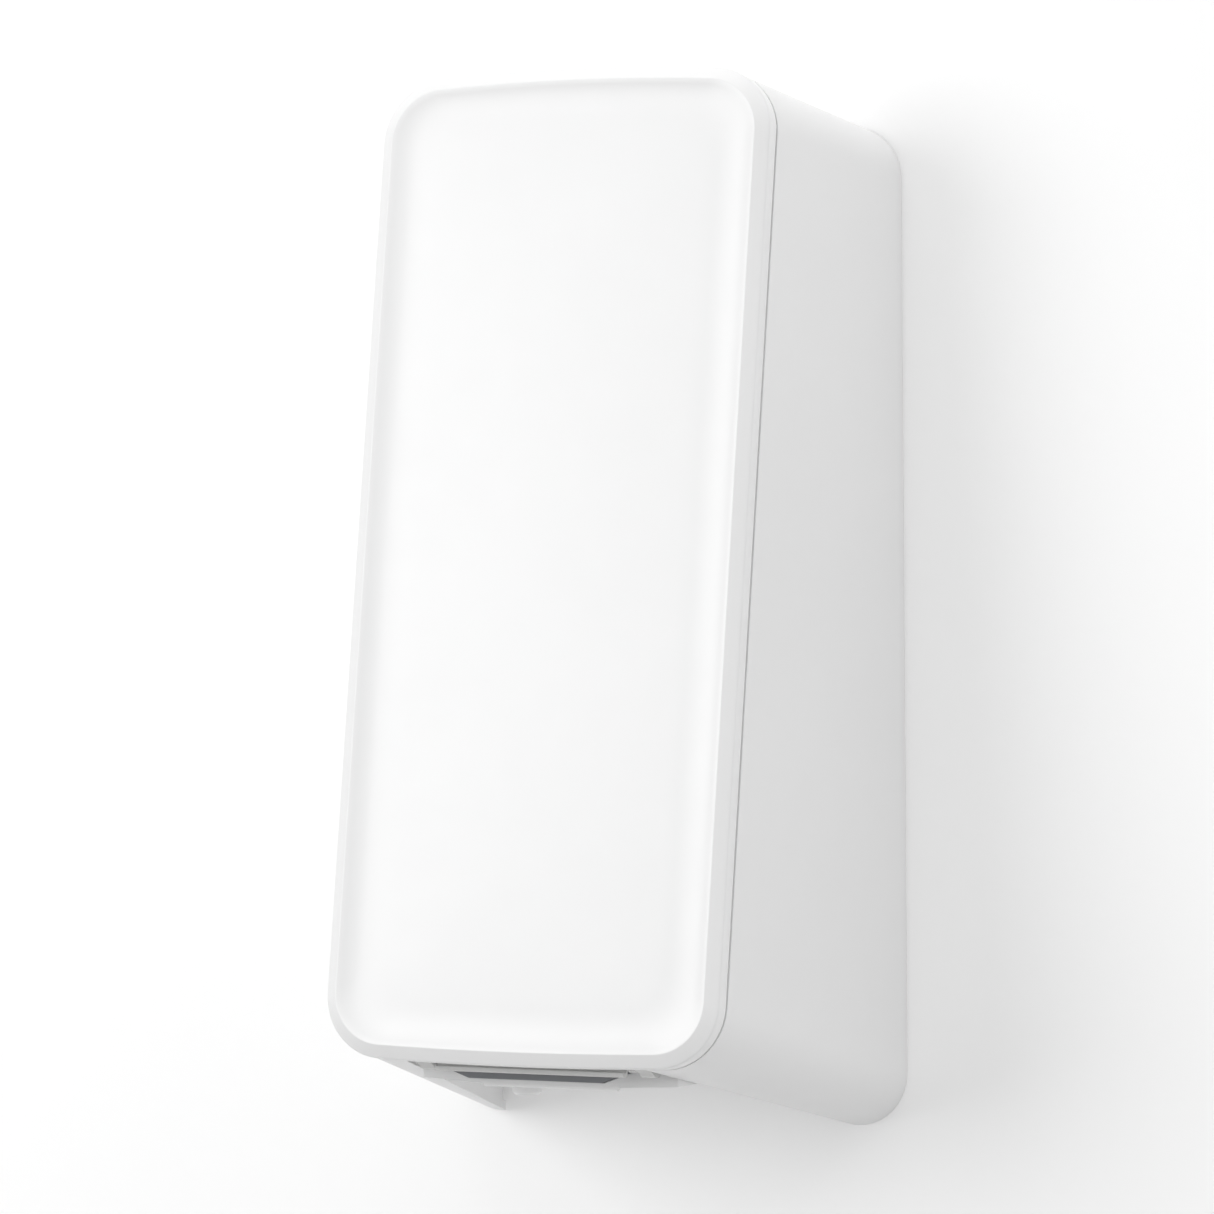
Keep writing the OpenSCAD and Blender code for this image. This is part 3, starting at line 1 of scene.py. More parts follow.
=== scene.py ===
"""Looks of a wall mounted touch-free soap dispenser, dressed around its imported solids.

Frame: metres, +Z up, the wall is y = 0 and the dispenser stands out from it towards -Y.
The order is: camera, finishes, door panel, small parts, stage and lamps.
"""
import math

import bmesh
import bpy
from mathutils import Matrix, Vector


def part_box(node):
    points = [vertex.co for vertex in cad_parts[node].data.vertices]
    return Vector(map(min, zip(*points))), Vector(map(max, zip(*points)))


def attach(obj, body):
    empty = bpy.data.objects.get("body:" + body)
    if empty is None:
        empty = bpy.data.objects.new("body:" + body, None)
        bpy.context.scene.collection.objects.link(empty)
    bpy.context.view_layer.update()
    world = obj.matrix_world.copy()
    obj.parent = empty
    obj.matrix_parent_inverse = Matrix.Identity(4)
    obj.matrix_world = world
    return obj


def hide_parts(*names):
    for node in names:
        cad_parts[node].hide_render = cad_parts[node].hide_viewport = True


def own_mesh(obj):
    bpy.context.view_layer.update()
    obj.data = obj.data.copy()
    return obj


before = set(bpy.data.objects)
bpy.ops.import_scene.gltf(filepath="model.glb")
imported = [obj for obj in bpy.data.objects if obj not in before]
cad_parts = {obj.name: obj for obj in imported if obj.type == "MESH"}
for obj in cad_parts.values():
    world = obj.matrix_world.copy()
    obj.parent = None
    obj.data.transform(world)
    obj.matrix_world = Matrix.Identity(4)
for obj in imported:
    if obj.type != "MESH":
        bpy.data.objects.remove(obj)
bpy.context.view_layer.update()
MM = 0.001

# ---- camera --------------------------------------------------------------------------------
# A level view from the right of the middle, with a long lens.
CAMERA_PLACE = (0.66103, -1.45203, 0.03501)
CAMERA_TURN = math.radians(25.1525)
CAMERA_RISE = math.radians(1.05228)
CAMERA_ROLL = math.radians(-0.45065)
CAMERA_LENS = 167.96


def make_camera():
    data = bpy.data.cameras.new("view")
    data.sensor_width = 36
    data.lens = CAMERA_LENS
    data.clip_start, data.clip_end = 0.05, 30
    camera = bpy.data.objects.new("view", data)
    ca, sa = math.cos(CAMERA_TURN), math.sin(CAMERA_TURN)
    ce, se = math.cos(CAMERA_RISE), math.sin(CAMERA_RISE)
    back = Vector((sa * ce, -ca * ce, se))
    right = Vector((ca, sa, 0))
    up = back.cross(right)
    cr, sr = math.cos(CAMERA_ROLL), math.sin(CAMERA_ROLL)
    turn = Matrix((cr * right + sr * up, cr * up - sr * right, back)).transposed()
    camera.matrix_world = Matrix.Translation(CAMERA_PLACE) @ turn.to_4x4()
    bpy.context.scene.collection.objects.link(camera)
    bpy.context.scene.camera = camera


make_camera()
bpy.context.scene.view_settings.view_transform = "Standard"


# ---- finishes ------------------------------------------------------------------------------
def linear(code):
    """The linear colour of an sRGB hex code."""
    parts = [int(code[i:i + 2], 16) / 255 for i in (0, 2, 4)]
    return [c / 12.92 if c <= 0.04045 else ((c + 0.055) / 1.055) ** 2.4 for c in parts] + [1]


def add(tree, kind, sockets=None, **settings):
    """Adds a node. sockets gives a value, or (node, output) for a link, for each input."""
    node = tree.nodes.new(kind)
    for key, value in settings.items():
        setattr(node, key, value)
    for key, value in (sockets or {}).items():
        if isinstance(value, tuple) and isinstance(value[0], bpy.types.Node):
            tree.links.new(value[0].outputs[value[1]], node.inputs[key])
        else:
            node.inputs[key].default_value = value
    return node


def new_finish(name):
    """An empty material with its shader, its output and the object's own coordinates."""
    material = bpy.data.materials.new(name)
    material.use_nodes = True
    tree = material.node_tree
    tree.nodes.clear()
    shader = add(tree, "ShaderNodeBsdfPrincipled")
    add(tree, "ShaderNodeOutputMaterial", {"Surface": (shader, "BSDF")})
    place = add(tree, "ShaderNodeTexCoord")
    return material, tree, shader, place


def set_shader(shader, **values):
    for key, value in values.items():
        shader.inputs[key.replace("_", " ")].default_value = value


def link(tree, node, output, target, socket):
    tree.links.new(node.outputs[output], target.inputs[socket])


EVEN = (1, 1, 1)                 # a pattern that is stretched along no axis
NOISE_LOW, NOISE_HIGH = 0.3, 0.7     # where nearly all of the noise's values lie


def vary(tree, place, size_mm, low, high, stretch=EVEN, detail=3):
    """A soft noise with features of size_mm, spread from low to high."""
    lie = add(tree, "ShaderNodeMapping", {"Vector": (place, "Object"), "Scale": stretch})
    noise = add(tree, "ShaderNodeTexNoise", {
        "Vector": (lie, "Vector"), "Scale": 1 / (size_mm * MM), "Detail": detail,
        "Roughness": 0.55})
    return add(tree, "ShaderNodeMapRange", {
        "Value": (noise, "Fac"), "From Min": NOISE_LOW, "From Max": NOISE_HIGH,
        "To Min": low, "To Max": high}, clamp=False)


def tint(tree, place, size_mm, code_a, code_b, stretch=EVEN):
    """Drifts between two near colours over size_mm."""
    amount = vary(tree, place, size_mm, 0, 1, stretch)
    return add(tree, "ShaderNodeMix", {
        0: (amount, "Result"), 6: linear(code_a), 7: linear(code_b)}, data_type="RGBA")


def grain(tree, place, layers, edge_mm):
    """Bumps one on top of another; each layer is (size in mm, depth in mm, stretch).

    They start from a normal that is rounded over the edges by edge_mm, as a moulded edge is.
    """
    last = add(tree, "ShaderNodeBevel", {"Radius": edge_mm * MM}, samples=6) if edge_mm else None
    for size_mm, depth_mm, stretch in layers:
        height = vary(tree, place, size_mm, 0, 1, stretch, 2)
        sockets = {"Height": (height, "Result"), "Strength": 1, "Distance": depth_mm * MM}
        if last:
            sockets["Normal"] = (last, "Normal")
        last = add(tree, "ShaderNodeBump", sockets)
    return last


EDGE_MM = 0.3        # the small round that a mould or a tumbling barrel leaves on an edge


def plastic(name, code_a, code_b, rough, spread, layers, ior=1.54, drift_mm=60,
            edge_mm=EDGE_MM, **more):
    """Moulded plastic: a nearly even colour, a gloss that wanders a little, and tool grain."""
    material, tree, shader, place = new_finish(name)
    link(tree, tint(tree, place, drift_mm, code_a, code_b), 2, shader, "Base Color")
    link(tree, vary(tree, place, 9, rough - spread, rough + spread), "Result", shader, "Roughness")
    link(tree, grain(tree, place, layers, edge_mm), "Normal", shader, "Normal")
    set_shader(shader, IOR=ior, **more)
    return material


def metal(name, code_a, code_b, rough, spread, layers, drift_mm=3, stretch=EVEN):
    """Plated or machined metal, with marks that follow how it was worked."""
    material, tree, shader, place = new_finish(name)
    link(tree, tint(tree, place, drift_mm, code_a, code_b, stretch), 2, shader, "Base Color")
    link(tree, vary(tree, place, 0.8, rough - spread, rough + spread, stretch), "Result",
         shader, "Roughness")
    link(tree, grain(tree, place, layers, EDGE_MM), "Normal", shader, "Normal")
    set_shader(shader, Metallic=1.0)
    return material


# Polished ABS of the outside: a wide soft sheen, with the faint waviness of a large moulding.
shell_white = plastic("polished_abs_housing", "F3F3F3", "F1F1F1", 0.35, 0.02,
                      [(14, 0.006, EVEN)])
panel_white = plastic("polished_abs_door", "F4F4F4", "F3F3F3", 0.34, 0.02,
                      [(18, 0.005, EVEN)], edge_mm=0)
# Inner mouldings come off a spark-eroded tool, so they are duller and finely pitted.
inner_abs = plastic("eroded_abs", "DEDEDD", "D8D8D7", 0.52, 0.05, [(0.7, 0.012, EVEN)])
# Smoked polycarbonate that lets infrared through: grey, with a mirror-like face.
window_dark = plastic("infrared_polycarbonate", "86888C", "74767A", 0.09, 0.02,
                      [(10, 0.002, EVEN)], ior=1.585, Coat_Weight=0.4, Coat_Roughness=0.03)
# Glass-filled nylon has a dull, slightly mottled grey skin.
grey_nylon = plastic("filled_nylon", "6D7073", "5F6265", 0.55, 0.06, [(0.8, 0.02, EVEN)],
                     ior=1.53, drift_mm=5)
# Natural acetal is creamy and slippery, so it has a satin gloss.
acetal = plastic("natural_acetal", "E6E2D6", "DEDACC", 0.33, 0.04, [(1.2, 0.006, EVEN)],
                 ior=1.48, drift_mm=12, Subsurface_Weight=0.15,
                 Subsurface_Radius=(0.002, 0.002, 0.0015), Subsurface_Scale=1.0)
# Blown polyethylene is milky, with fine lines where the parison stretched.
bottle_hdpe = plastic("blown_polyethylene", "E9ECEA", "DFE5E4", 0.42, 0.05,
                      [(3, 0.03, (1, 1, 0.12)), (0.9, 0.01, EVEN)], ior=1.53,
                      Subsurface_Weight=0.35, Subsurface_Radius=(0.006, 0.007, 0.008),
                      Subsurface_Scale=1.0)
cap_grey = plastic("moulded_polypropylene_cap", "8A9097", "80868E", 0.38, 0.04,
                   [(0.9, 0.01, EVEN)], ior=1.49)
pump_white = plastic("moulded_polypropylene", "DDE2E6", "D5DBE0", 0.34, 0.04,
                     [(1.1, 0.008, EVEN)], ior=1.49, Subsurface_Weight=0.2,
                     Subsurface_Radius=(0.002, 0.002, 0.002), Subsurface_Scale=1.0)
rubber = plastic("moulded_rubber", "161616", "1D1D1C", 0.72, 0.06, [(0.5, 0.01, EVEN)], ior=1.52)
# Clear epoxy of the sender and the receiver looks smoky violet.
diode_epoxy = plastic("clear_epoxy", "2B2236", "332A40", 0.08, 0.02, [(3, 0.002, EVEN)],
                      ior=1.55, Transmission_Weight=0.35)
chip_black = plastic("moulded_epoxy", "18181A", "1F1F21", 0.6, 0.05, [(0.4, 0.01, EVEN)])

zinc = metal("zinc_plated_steel", "B9BABB", "A6A8AC", 0.34, 0.08, [(0.8, 0.008, EVEN)])
ground_steel = metal("ground_steel", "B4B4B3", "A3A3A3", 0.24, 0.05,
                     [(0.5, 0.004, (0.08, 1, 1))], stretch=(0.08, 1, 1))
spring_wire = metal("drawn_spring_wire", "A9A9A8", "8F8F8F", 0.3, 0.06,
                    [(0.4, 0.004, (1, 1, 4))])
lock_zinc = metal("plated_lock_zinc", "C7C8CA", "BCBDC0", 0.18, 0.05, [(2.0, 0.004, EVEN)])
brass = metal("machined_brass", "C9A75C", "B9954A", 0.26, 0.06, [(0.4, 0.006, (1, 5, 1))],
              stretch=(1, 5, 1))
nickel = metal("nickel_plate", "BDB8AE", "AAA69C", 0.28, 0.05, [(0.9, 0.006, EVEN)])
motor_can = metal("plated_motor_can", "A5A7AA", "94969A", 0.3, 0.06,
                  [(0.7, 0.006, (1, 0.1, 1))], stretch=(1, 0.1, 1))


def solder_mask():
    """Green solder mask over etched copper: the tracks show as paler, slightly raised lines."""
    material, tree, shader, place = new_finish("solder_mask")
    track_mm = 2.4
    lie = add(tree, "ShaderNodeMapping", {
        "Vector": (place, "Object"), "Rotation": (math.radians(90), 0, 0)})
    bricks = add(tree, "ShaderNodeTexBrick", {
        "Vector": (lie, "Vector"), "Scale": 1 / (track_mm * MM) / 4, "Mortar Size": 0.045,
        "Mortar Smooth": 0.2, "Brick Width": 1.3, "Row Height": 0.42,
        "Color1": (0, 0, 0, 1), "Color2": (0, 0, 0, 1), "Mortar": (1, 1, 1, 1)})
    colour = add(tree, "ShaderNodeMix", {
        0: (bricks, "Fac"), 6: linear("0E4A2C"), 7: linear("2B7A4B")}, data_type="RGBA")
    link(tree, colour, 2, shader, "Base Color")
    bump = add(tree, "ShaderNodeBump", {"Height": (bricks, "Fac"), "Distance": 0.04 * MM})
    link(tree, bump, "Normal", shader, "Normal")
    set_shader(shader, Roughness=0.28, IOR=1.55)
    return material


def cell_sleeve():
    """Shrunk battery sleeve: dark grey with a band of paler grey towards the positive end."""
    material, tree, shader, place = new_finish("battery_sleeve")
    cell_mm, dark_mm, lowest_mm = 50.4, 36, -32.6    # pitch, dark length, foot of the stack
    parts = add(tree, "ShaderNodeSeparateXYZ", {"Vector": (place, "Object")})
    along = add(tree, "ShaderNodeMath", {0: (parts, "Z"), 1: lowest_mm * MM},
                operation="SUBTRACT")
    turn = add(tree, "ShaderNodeMath", {0: (along, 0), 1: cell_mm * MM}, operation="FLOORED_MODULO")
    band = add(tree, "ShaderNodeMath", {0: (turn, 0), 1: dark_mm * MM}, operation="GREATER_THAN")
    colour = add(tree, "ShaderNodeMix", {
        0: (band, 0), 6: linear("3A3F46"), 7: linear("A9AEB4")}, data_type="RGBA")
    link(tree, colour, 2, shader, "Base Color")
    link(tree, vary(tree, place, 4, 0.31, 0.39), "Result", shader, "Roughness")
    link(tree, grain(tree, place, [(1.5, 0.01, (1, 1, 0.3))], EDGE_MM), "Normal", shader,
         "Normal")
    set_shader(shader, Metallic=0.35)
    return material


board_green = solder_mask()
sleeve = cell_sleeve()

FINISH = {
    "wall_plate": inner_abs, "housing_shell": shell_white, "housing_screws": zinc,
    "base_plate": shell_white, "base_screws": zinc, "sensor_window": window_dark,
    "sensor_board": board_green, "infrared_pair": diode_epoxy, "front_panel": panel_white,
    "door_frame": inner_abs, "door_screws": zinc, "hinge_pins": ground_steel,
    "lock_bracket": grey_nylon, "lock_screws": zinc, "lock_barrel": lock_zinc,
    "lock_cam": lock_zinc, "cam_screw": zinc, "bottle_shelf": inner_abs, "shelf_screws": zinc,
    "soap_bottle": bottle_hdpe, "bottle_cap": cap_grey, "pump_cylinder": pump_white,
    "inlet_ball": ground_steel, "pump_piston": pump_white, "piston_seal": rubber,
    "pump_spring": spring_wire, "nozzle": shell_white, "outlet_valve": rubber,
    "lift_fork": acetal, "gearbox_case": grey_nylon, "gearbox_cover": grey_nylon,
    "gearbox_screws": zinc, "gear_shafts": ground_steel, "output_gear": acetal,
    "idler_gear": acetal, "motor_pinion": brass, "motor_shaft": ground_steel,
    "motor": motor_can, "battery_case": grey_nylon, "battery_cover": inner_abs,
    "battery_cells": sleeve, "battery_contacts": nickel, "control_board": board_green,
    "board_parts": chip_black,
}


# ---- shading of the solids -----------------------------------------------------------------
SHARP_DEGREES = 32      # an edge that turns more than this stays sharp
JOIN_MM = 0.004         # corners of triangles this close are one corner


def smoothing_tree():
    """Joins the loose triangles of a solid and keeps only its real edges sharp."""
    tree = bpy.data.node_groups.new("joined_and_smooth", "GeometryNodeTree")
    face = tree.interface
    face.new_socket("Geometry", in_out="INPUT", socket_type="NodeSocketGeometry")
    edge = face.new_socket("Edge angle", in_out="INPUT", socket_type="NodeSocketFloat")
    edge.default_value = math.radians(SHARP_DEGREES)
    face.new_socket("Geometry", in_out="OUTPUT", socket_type="NodeSocketGeometry")
    start = add(tree, "NodeGroupInput")
    bare = add(tree, "GeometryNodeRemoveAttribute", {
        "Geometry": (start, 0), "Name": "custom_normal"})
    joined = add(tree, "GeometryNodeMergeByDistance", {
        "Geometry": (bare, 0), "Distance": JOIN_MM * MM})
    angle = add(tree, "GeometryNodeInputMeshEdgeAngle")
    sharp = add(tree, "FunctionNodeCompare", {0: (angle, 0), 1: (start, 1)},
                data_type="FLOAT", operation="GREATER_THAN")
    soft = add(tree, "GeometryNodeSetShadeSmooth", {"Geometry": (joined, 0), "Shade Smooth": True},
               domain="FACE")
    done = add(tree, "GeometryNodeSetShadeSmooth", {
        "Geometry": (soft, 0), "Selection": (sharp, 0), "Shade Smooth": False}, domain="EDGE")
    add(tree, "NodeGroupOutput", {0: (done, 0)})
    return tree, edge.identifier


SMOOTHING, EDGE_ANGLE = smoothing_tree()


def dress(node):
    """Gives a solid its finish and smooth shading."""
    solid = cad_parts[node]
    solid.data.materials.clear()
    solid.data.materials.append(FINISH[node])
    smooth = solid.modifiers.new("smooth", "NODES")
    smooth.node_group = SMOOTHING
    smooth[EDGE_ANGLE] = math.radians(SHARP_DEGREES)


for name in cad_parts:
    dress(name)


# ---- door panel ----------------------------------------------------------------------------
# Sizes in mm. An inset is measured inwards from the outline, and a depth forward of the seam.
FRONT_W, FRONT_H, FRONT_R = 116, 271, 16.5
FRONT_Y, FRONT_Z, LEAN = 76.5, 18.5, math.radians(9.2)
TOP_BOW, BOTTOM_BOW = 2.6, 1.5
SEAM, RIM_SIDE, RIM_DEPTH, RIM_BEVEL = 0.8, 5.4, 7.5, 3.6
CREST = RIM_BEVEL + 0.4                # inset where the slope of the dish starts
DISH_W, DISH_D, DOME = 12, 1.6, 0.9
POCKET, LIP, POCKET_INSET = 1.2, 3, 38     # the shallow pocket in the back, and its lip
EDGE_ROUND, BEVEL_ROUND, CREST_ROUND = 0.45, 0.9, 0.6
SLOPE_STEPS = 20


def door_point(x, s, f):
    """A point right, up along the door and forward of the seam, in metres of the frame."""
    return Vector((x, -FRONT_Y + s * math.sin(LEAN) - f * math.cos(LEAN),
                   FRONT_Z + s * math.cos(LEAN) + f * math.sin(LEAN))) * MM


def rounded_box(half_w, half_h, r_top, r_bottom, corner, edge):
    """Anticlockwise points of a rounded box, from the bottom right corner."""
    points = []

    def arc(cx, cz, r, start):
        for k in range(corner + 1):
            a = math.radians(start + 90 * k / corner)
            points.append((cx + r * math.cos(a), cz + r * math.sin(a)))

    def run(x0, z0, x1, z1):
        for k in range(1, edge):
            points.append((x0 + (x1 - x0) * k / edge, z0 + (z1 - z0) * k / edge))

    w, h = half_w, half_h
    arc(w - r_bottom, -h + r_bottom, r_bottom, -90)
    run(w, -h + r_bottom, w, h - r_top)
    arc(w - r_top, h - r_top, r_top, 0)
    run(w - r_top, h, -w + r_top, h)
    arc(-w + r_top, h - r_top, r_top, 90)
    run(-w, h - r_top, -w, -h + r_bottom)
    arc(-w + r_bottom, -h + r_bottom, r_bottom, 180)
    run(-w + r_bottom, -h, w - r_bottom, -h)
    return points


def seam_outline(inset, corner=28, edge=20):
    """The outline of the door, drawn in, with bowed top and bottom edges."""
    w, h = FRONT_W / 2, FRONT_H / 2
    r = FRONT_R - 0.8 * min(inset, RIM_BEVEL) - 0.25 * max(inset - RIM_BEVEL, 0)
    points = rounded_box(w - inset, h - inset, r, r, corner, edge)
    return [(x, z - (TOP_BOW if z > 0 else -BOTTOM_BOW) * (x / w) ** 2 * abs(z) / h)
            for x, z in points]


def skin(name, rings, finish):
    """A closed mesh through rings of points, capped at both ends, its faces outward."""
    mesh = bpy.data.meshes.new(name)
    bm = bmesh.new()
    rows = [[bm.verts.new(p) for p in ring] for ring in rings]
    count = len(rows[0])
    for low, high in zip(rows, rows[1:]):
        for i in range(count):
            j = (i + 1) % count
            bm.faces.new((low[i], low[j], high[j], high[i]))
    bm.faces.new(reversed(rows[0]))
    bm.faces.new(rows[-1])
    for face in bm.faces:
        face.smooth = True
    bm.to_mesh(mesh)
    bm.free()
    piece = bpy.data.objects.new(name, mesh)
    mesh.materials.append(finish)
    bpy.context.scene.collection.objects.link(piece)
    return piece


def fillet(before, corner, after, radius, steps):
    """Points of a rounded corner between two straight lines of a profile."""
    b, c, a = Vector(before), Vector(corner), Vector(after)
    u, v = (b - c).normalized(), (a - c).normalized()
    half = u.angle(v) / 2
    reach = min(radius / math.tan(half), (b - c).length * 0.49, (a - c).length * 0.49)
    start, end = c + u * reach, c + v * reach
    points = []
    for k in range(steps + 1):
        t = k / steps
        points.append(tuple((1 - t) ** 2 * start + 2 * t * (1 - t) * c + t ** 2 * end))
    return points


def dish(inset):
    """How far the dished face stands in front of the seam: a slope that ends in a low dome."""
    u = min(1, (inset - CREST) / DISH_W)
    rise = (1 - 2 * RIM_BEVEL / FRONT_W) ** 2 - (1 - 2 * inset / FRONT_W) ** 2
    return RIM_DEPTH - DISH_D + DISH_D * (1 - u) ** 3 + DOME * rise * u


def panel_profile():
    """(inset, forward) pairs from the pocket in the back, over the rim, to the dished floor."""
    insets = [CREST + DISH_W * (k / SLOPE_STEPS) ** 1.3 for k in range(SLOPE_STEPS + 1)]
    slope = [(d, dish(d)) for d in insets]
    inner, outer = (LIP, SEAM), (0, SEAM)
    side, crest = (0, RIM_SIDE), (RIM_BEVEL, RIM_DEPTH)
    floor = SEAM + POCKET
    profile = [(POCKET_INSET, floor), (LIP + 0.2, floor), (LIP, floor), (LIP, floor - 0.2),
               (LIP, SEAM + 0.15), (LIP - 0.15, SEAM)]
    profile += fillet(inner, outer, side, EDGE_ROUND, 4)
    profile += fillet(outer, side, crest, BEVEL_ROUND, 6)
    profile += fillet(side, crest, slope[3], CREST_ROUND, 6)
    profile += slope[2:]
    profile += [(d, dish(d)) for d in range(19, 54, 3)]
    return profile


panel = skin("door_panel", [[door_point(x, s, f) for x, s in seam_outline(d)]
                            for d, f in panel_profile()], panel_white)
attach(panel, "door")
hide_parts("front_panel")


# ---- pump spring ---------------------------------------------------------------------------
def coil_tree(finish):
    """A compression spring that stands on z = 0, wound closed over its first and last turn."""
    tree = bpy.data.node_groups.new("closed_end_coil", "GeometryNodeTree")
    for label, value in (("Radius", 0.01), ("Wire", 0.0005), ("Length", 0.04), ("Turns", 8.0)):
        socket = tree.interface.new_socket(label, in_out="INPUT", socket_type="NodeSocketFloat")
        socket.default_value = value
    tree.interface.new_socket("Geometry", in_out="OUTPUT", socket_type="NodeSocketGeometry")
    size = add(tree, "NodeGroupInput")
    line = add(tree, "GeometryNodeCurveSpiral", {
        "Resolution": 28, "Rotations": (size, "Turns"), "Start Radius": (size, "Radius"),
        "End Radius": (size, "Radius"), "Height": 0.0})
    along = add(tree, "GeometryNodeSplineParameter")
    end = add(tree, "ShaderNodeMath", {0: 1.0, 1: (size, "Turns")}, operation="DIVIDE")
    other = add(tree, "ShaderNodeMath", {0: 1.0, 1: (end, 0)}, operation="SUBTRACT")
    touch = add(tree, "ShaderNodeMath", {0: (size, "Wire"), 1: 2.1}, operation="MULTIPLY")
    first = add(tree, "ShaderNodeMath", {0: (size, "Wire"), 1: (touch, 0)}, operation="ADD")
    closed = add(tree, "ShaderNodeMath", {0: (first, 0), 1: 2.0}, operation="MULTIPLY")
    open_part = add(tree, "ShaderNodeMath", {0: (size, "Length"), 1: (closed, 0)},
                    operation="SUBTRACT")
    low = add(tree, "ShaderNodeMapRange", {
        "Value": (along, "Factor"), "From Min": 0.0, "From Max": (end, 0),
        "To Min": (size, "Wire"), "To Max": (first, 0)})
    middle = add(tree, "ShaderNodeMapRange", {
        "Value": (along, "Factor"), "From Min": (end, 0), "From Max": (other, 0),
        "To Min": 0.0, "To Max": (open_part, 0)})
    high = add(tree, "ShaderNodeMapRange", {
        "Value": (along, "Factor"), "From Min": (other, 0), "From Max": 1.0,
        "To Min": 0.0, "To Max": (touch, 0)})
    part = add(tree, "ShaderNodeMath", {0: (low, 0), 1: (middle, 0)}, operation="ADD")
    rise = add(tree, "ShaderNodeMath", {0: (part, 0), 1: (high, 0)}, operation="ADD")
    lift = add(tree, "ShaderNodeCombineXYZ", {"Z": (rise, 0)})
    raised = add(tree, "GeometryNodeSetPosition", {"Geometry": (line, 0), "Offset": (lift, 0)})
    section = add(tree, "GeometryNodeCurvePrimitiveCircle", {
        "Resolution": 12, "Radius": (size, "Wire")})
    wire = add(tree, "GeometryNodeCurveToMesh", {
        "Curve": (raised, 0), "Profile Curve": (section, 0), "Fill Caps": True})
    smooth = add(tree, "GeometryNodeSetShadeSmooth", {"Geometry": (wire, 0), "Shade Smooth": True})
    real = add(tree, "GeometryNodeRealizeInstances", {"Geometry": (smooth, 0)})
    coated = add(tree, "GeometryNodeSetMaterial", {"Geometry": (real, 0), "Material": finish})
    add(tree, "NodeGroupOutput", {0: (coated, 0)})
    return tree


def grow(name, tree, place, finish, **sizes):
    """Runs a node tree once and keeps the result as a plain mesh that stands at place."""
    host = bpy.data.objects.new(name + "_host", bpy.data.meshes.new(name + "_host"))
    bpy.context.scene.collection.objects.link(host)
    grower = host.modifiers.new("grow", "NODES")
    grower.node_group = tree
    for item in tree.interface.items_tree:
        if item.item_type == "SOCKET" and item.in_out == "INPUT" and item.name in sizes:
            grower[item.identifier] = sizes[item.name]
    host.update_tag()
    bpy.context.view_layer.update()
    grown = host.evaluated_get(bpy.context.evaluated_depsgraph_get())
    mesh = bpy.data.meshes.new_from_object(grown)
    bpy.data.objects.remove(host)
    mesh.name = name
    mesh.transform(Matrix.Translation(place))
    mesh.materials.clear()
    mesh.materials.append(finish)
    piece = bpy.data.objects.new(name, mesh)
    bpy.context.scene.collection.objects.link(piece)
    return piece


SPRING_WIRE, SPRING_TURNS, PUMP_STROKE = 0.5 * MM, 8.0, 10 * MM
spring_low, spring_high = (Vector(corner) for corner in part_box("pump_spring"))
spring_middle = (spring_low + spring_high) / 2
spring_length = spring_high.z - spring_low.z
pump_coil = grow("pump_coil", coil_tree(spring_wire),
                 Vector((spring_middle.x, spring_middle.y, spring_low.z)), spring_wire,
                 Radius=(spring_high.x - spring_low.x) / 2 - SPRING_WIRE,
                 Wire=SPRING_WIRE, Length=spring_length, Turns=SPRING_TURNS)
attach(pump_coil, "bottle")
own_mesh(pump_coil)
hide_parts("pump_spring")


# ---- stage and lamps -----------------------------------------------------------------------
def flat_sheet(name, corners, finish):
    mesh = bpy.data.meshes.new(name)
    mesh.from_pydata(corners, [], [tuple(range(len(corners)))])
    mesh.materials.append(finish)
    sheet = bpy.data.objects.new(name, mesh)
    bpy.context.scene.collection.objects.link(sheet)
    return sheet


def backdrop_finish(name, code, glow, one_sided):
    """Pale matt paint with a little glow of its own for the camera, so that it stays pale."""
    material, tree, shader, place = new_finish(name)
    set_shader(shader, Base_Color=linear(code), Roughness=1.0, Specular_IOR_Level=0.0)
    rays = add(tree, "ShaderNodeLightPath")
    seen = add(tree, "ShaderNodeMath", {0: (rays, "Is Camera Ray"), 1: (rays, "Is Glossy Ray")},
               operation="MAXIMUM")
    seen = add(tree, "ShaderNodeMath", {0: (seen, 0), 1: (rays, "Is Transmission Ray")},
               operation="MAXIMUM")
    amount = add(tree, "ShaderNodeMath", {0: (seen, 0), 1: glow}, operation="MULTIPLY")
    shader.inputs["Emission Color"].default_value = (1, 1, 1, 1)
    link(tree, amount, 0, shader, "Emission Strength")
    if one_sided:
        output = next(n for n in tree.nodes if n.type == "OUTPUT_MATERIAL")
        # Seen from behind, and by a face that lies against it, the wall isn't there.
        side = add(tree, "ShaderNodeNewGeometry")
        near = add(tree, "ShaderNodeMath", {0: (rays, "Ray Length"), 1: 5 * MM},
                   operation="LESS_THAN")
        near = add(tree, "ShaderNodeMath", {0: (near, 0), 1: (rays, "Is Diffuse Ray")},
                   operation="MULTIPLY")
        gone = add(tree, "ShaderNodeMath", {0: (side, "Backfacing"), 1: (near, 0)},
                   operation="MAXIMUM")
        clear = add(tree, "ShaderNodeBsdfTransparent")
        both = add(tree, "ShaderNodeMixShader", {
            0: (gone, 0), 1: (shader, "BSDF"), 2: (clear, "BSDF")})
        link(tree, both, 0, output, "Surface")
    return material


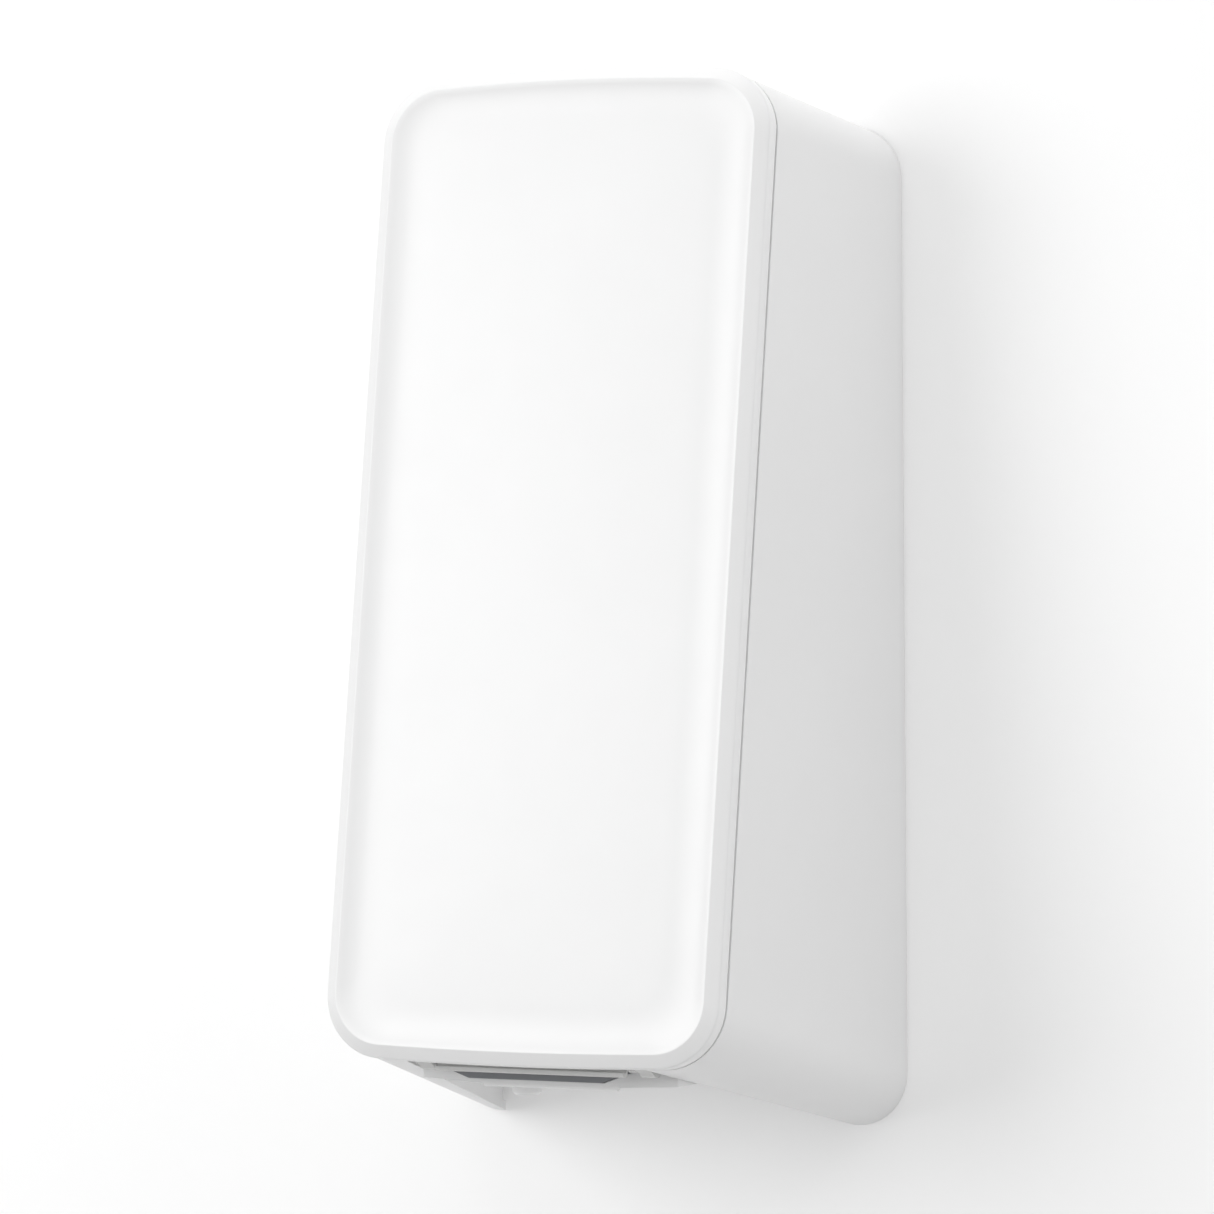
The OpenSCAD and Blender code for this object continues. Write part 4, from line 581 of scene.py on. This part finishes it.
WALL_HALF, WALL_TOP, WALL_Y, FLOOR_Z, ROOM = 4.0, 3.5, 0.0006, -1.6, 5.0
wall = flat_sheet("backdrop_wall", [(-WALL_HALF, WALL_Y, FLOOR_Z), (WALL_HALF, WALL_Y, FLOOR_Z),
                                    (WALL_HALF, WALL_Y, WALL_TOP), (-WALL_HALF, WALL_Y, WALL_TOP)],
                  backdrop_finish("wall_paint", "FFFFFF", 0.11, True))
# The wall stops no lamp, so the rear of the part is lit as well.
wall.visible_shadow = False
flat_sheet("floor", [(-ROOM, -ROOM, FLOOR_Z), (ROOM, -ROOM, FLOOR_Z),
                     (ROOM, ROOM, FLOOR_Z), (-ROOM, ROOM, FLOOR_Z)],
           backdrop_finish("floor_paint", "C4C4C4", 0.3, False))


def soft_lamp(name, place, aim, size, power):
    data = bpy.data.lights.new(name, "AREA")
    data.shape = "DISK"
    data.size = size
    data.energy = power
    lamp = bpy.data.objects.new(name, data)
    lamp.visible_camera = False
    lamp.location = place
    lamp.rotation_mode = "QUATERNION"
    lamp.rotation_quaternion = (Vector(aim) - Vector(place)).to_track_quat("-Z", "Y")
    bpy.context.scene.collection.objects.link(lamp)


BODY_MIDDLE = (0, -0.05, 0)
AMBIENT = 0.61          # how strongly the white room lights the part
soft_lamp("key", (-0.84, -1.2, 0.34), BODY_MIDDLE, 0.95, 8.2)
soft_lamp("top_fill", (-0.2, -0.5, 1.7), BODY_MIDDLE, 1.4, 5)
soft_lamp("upper_side_fill", (1.3, -0.5, 1.4), BODY_MIDDLE, 1.2, 5)
soft_lamp("lower_side_fill", (1.3, -0.5, -1.0), BODY_MIDDLE, 1.2, 2)

world = bpy.data.worlds.new("studio")
world.use_nodes = True
bpy.context.scene.world = world
tree = world.node_tree
tree.nodes.clear()
rays = add(tree, "ShaderNodeLightPath")
strength = add(tree, "ShaderNodeMapRange", {
    "Value": (rays, "Is Camera Ray"), "To Min": AMBIENT, "To Max": 1.0})
sky = add(tree, "ShaderNodeBackground", {"Color": (1, 1, 1, 1), "Strength": (strength, "Result")})
add(tree, "ShaderNodeOutputWorld", {"Surface": (sky, "Background")})
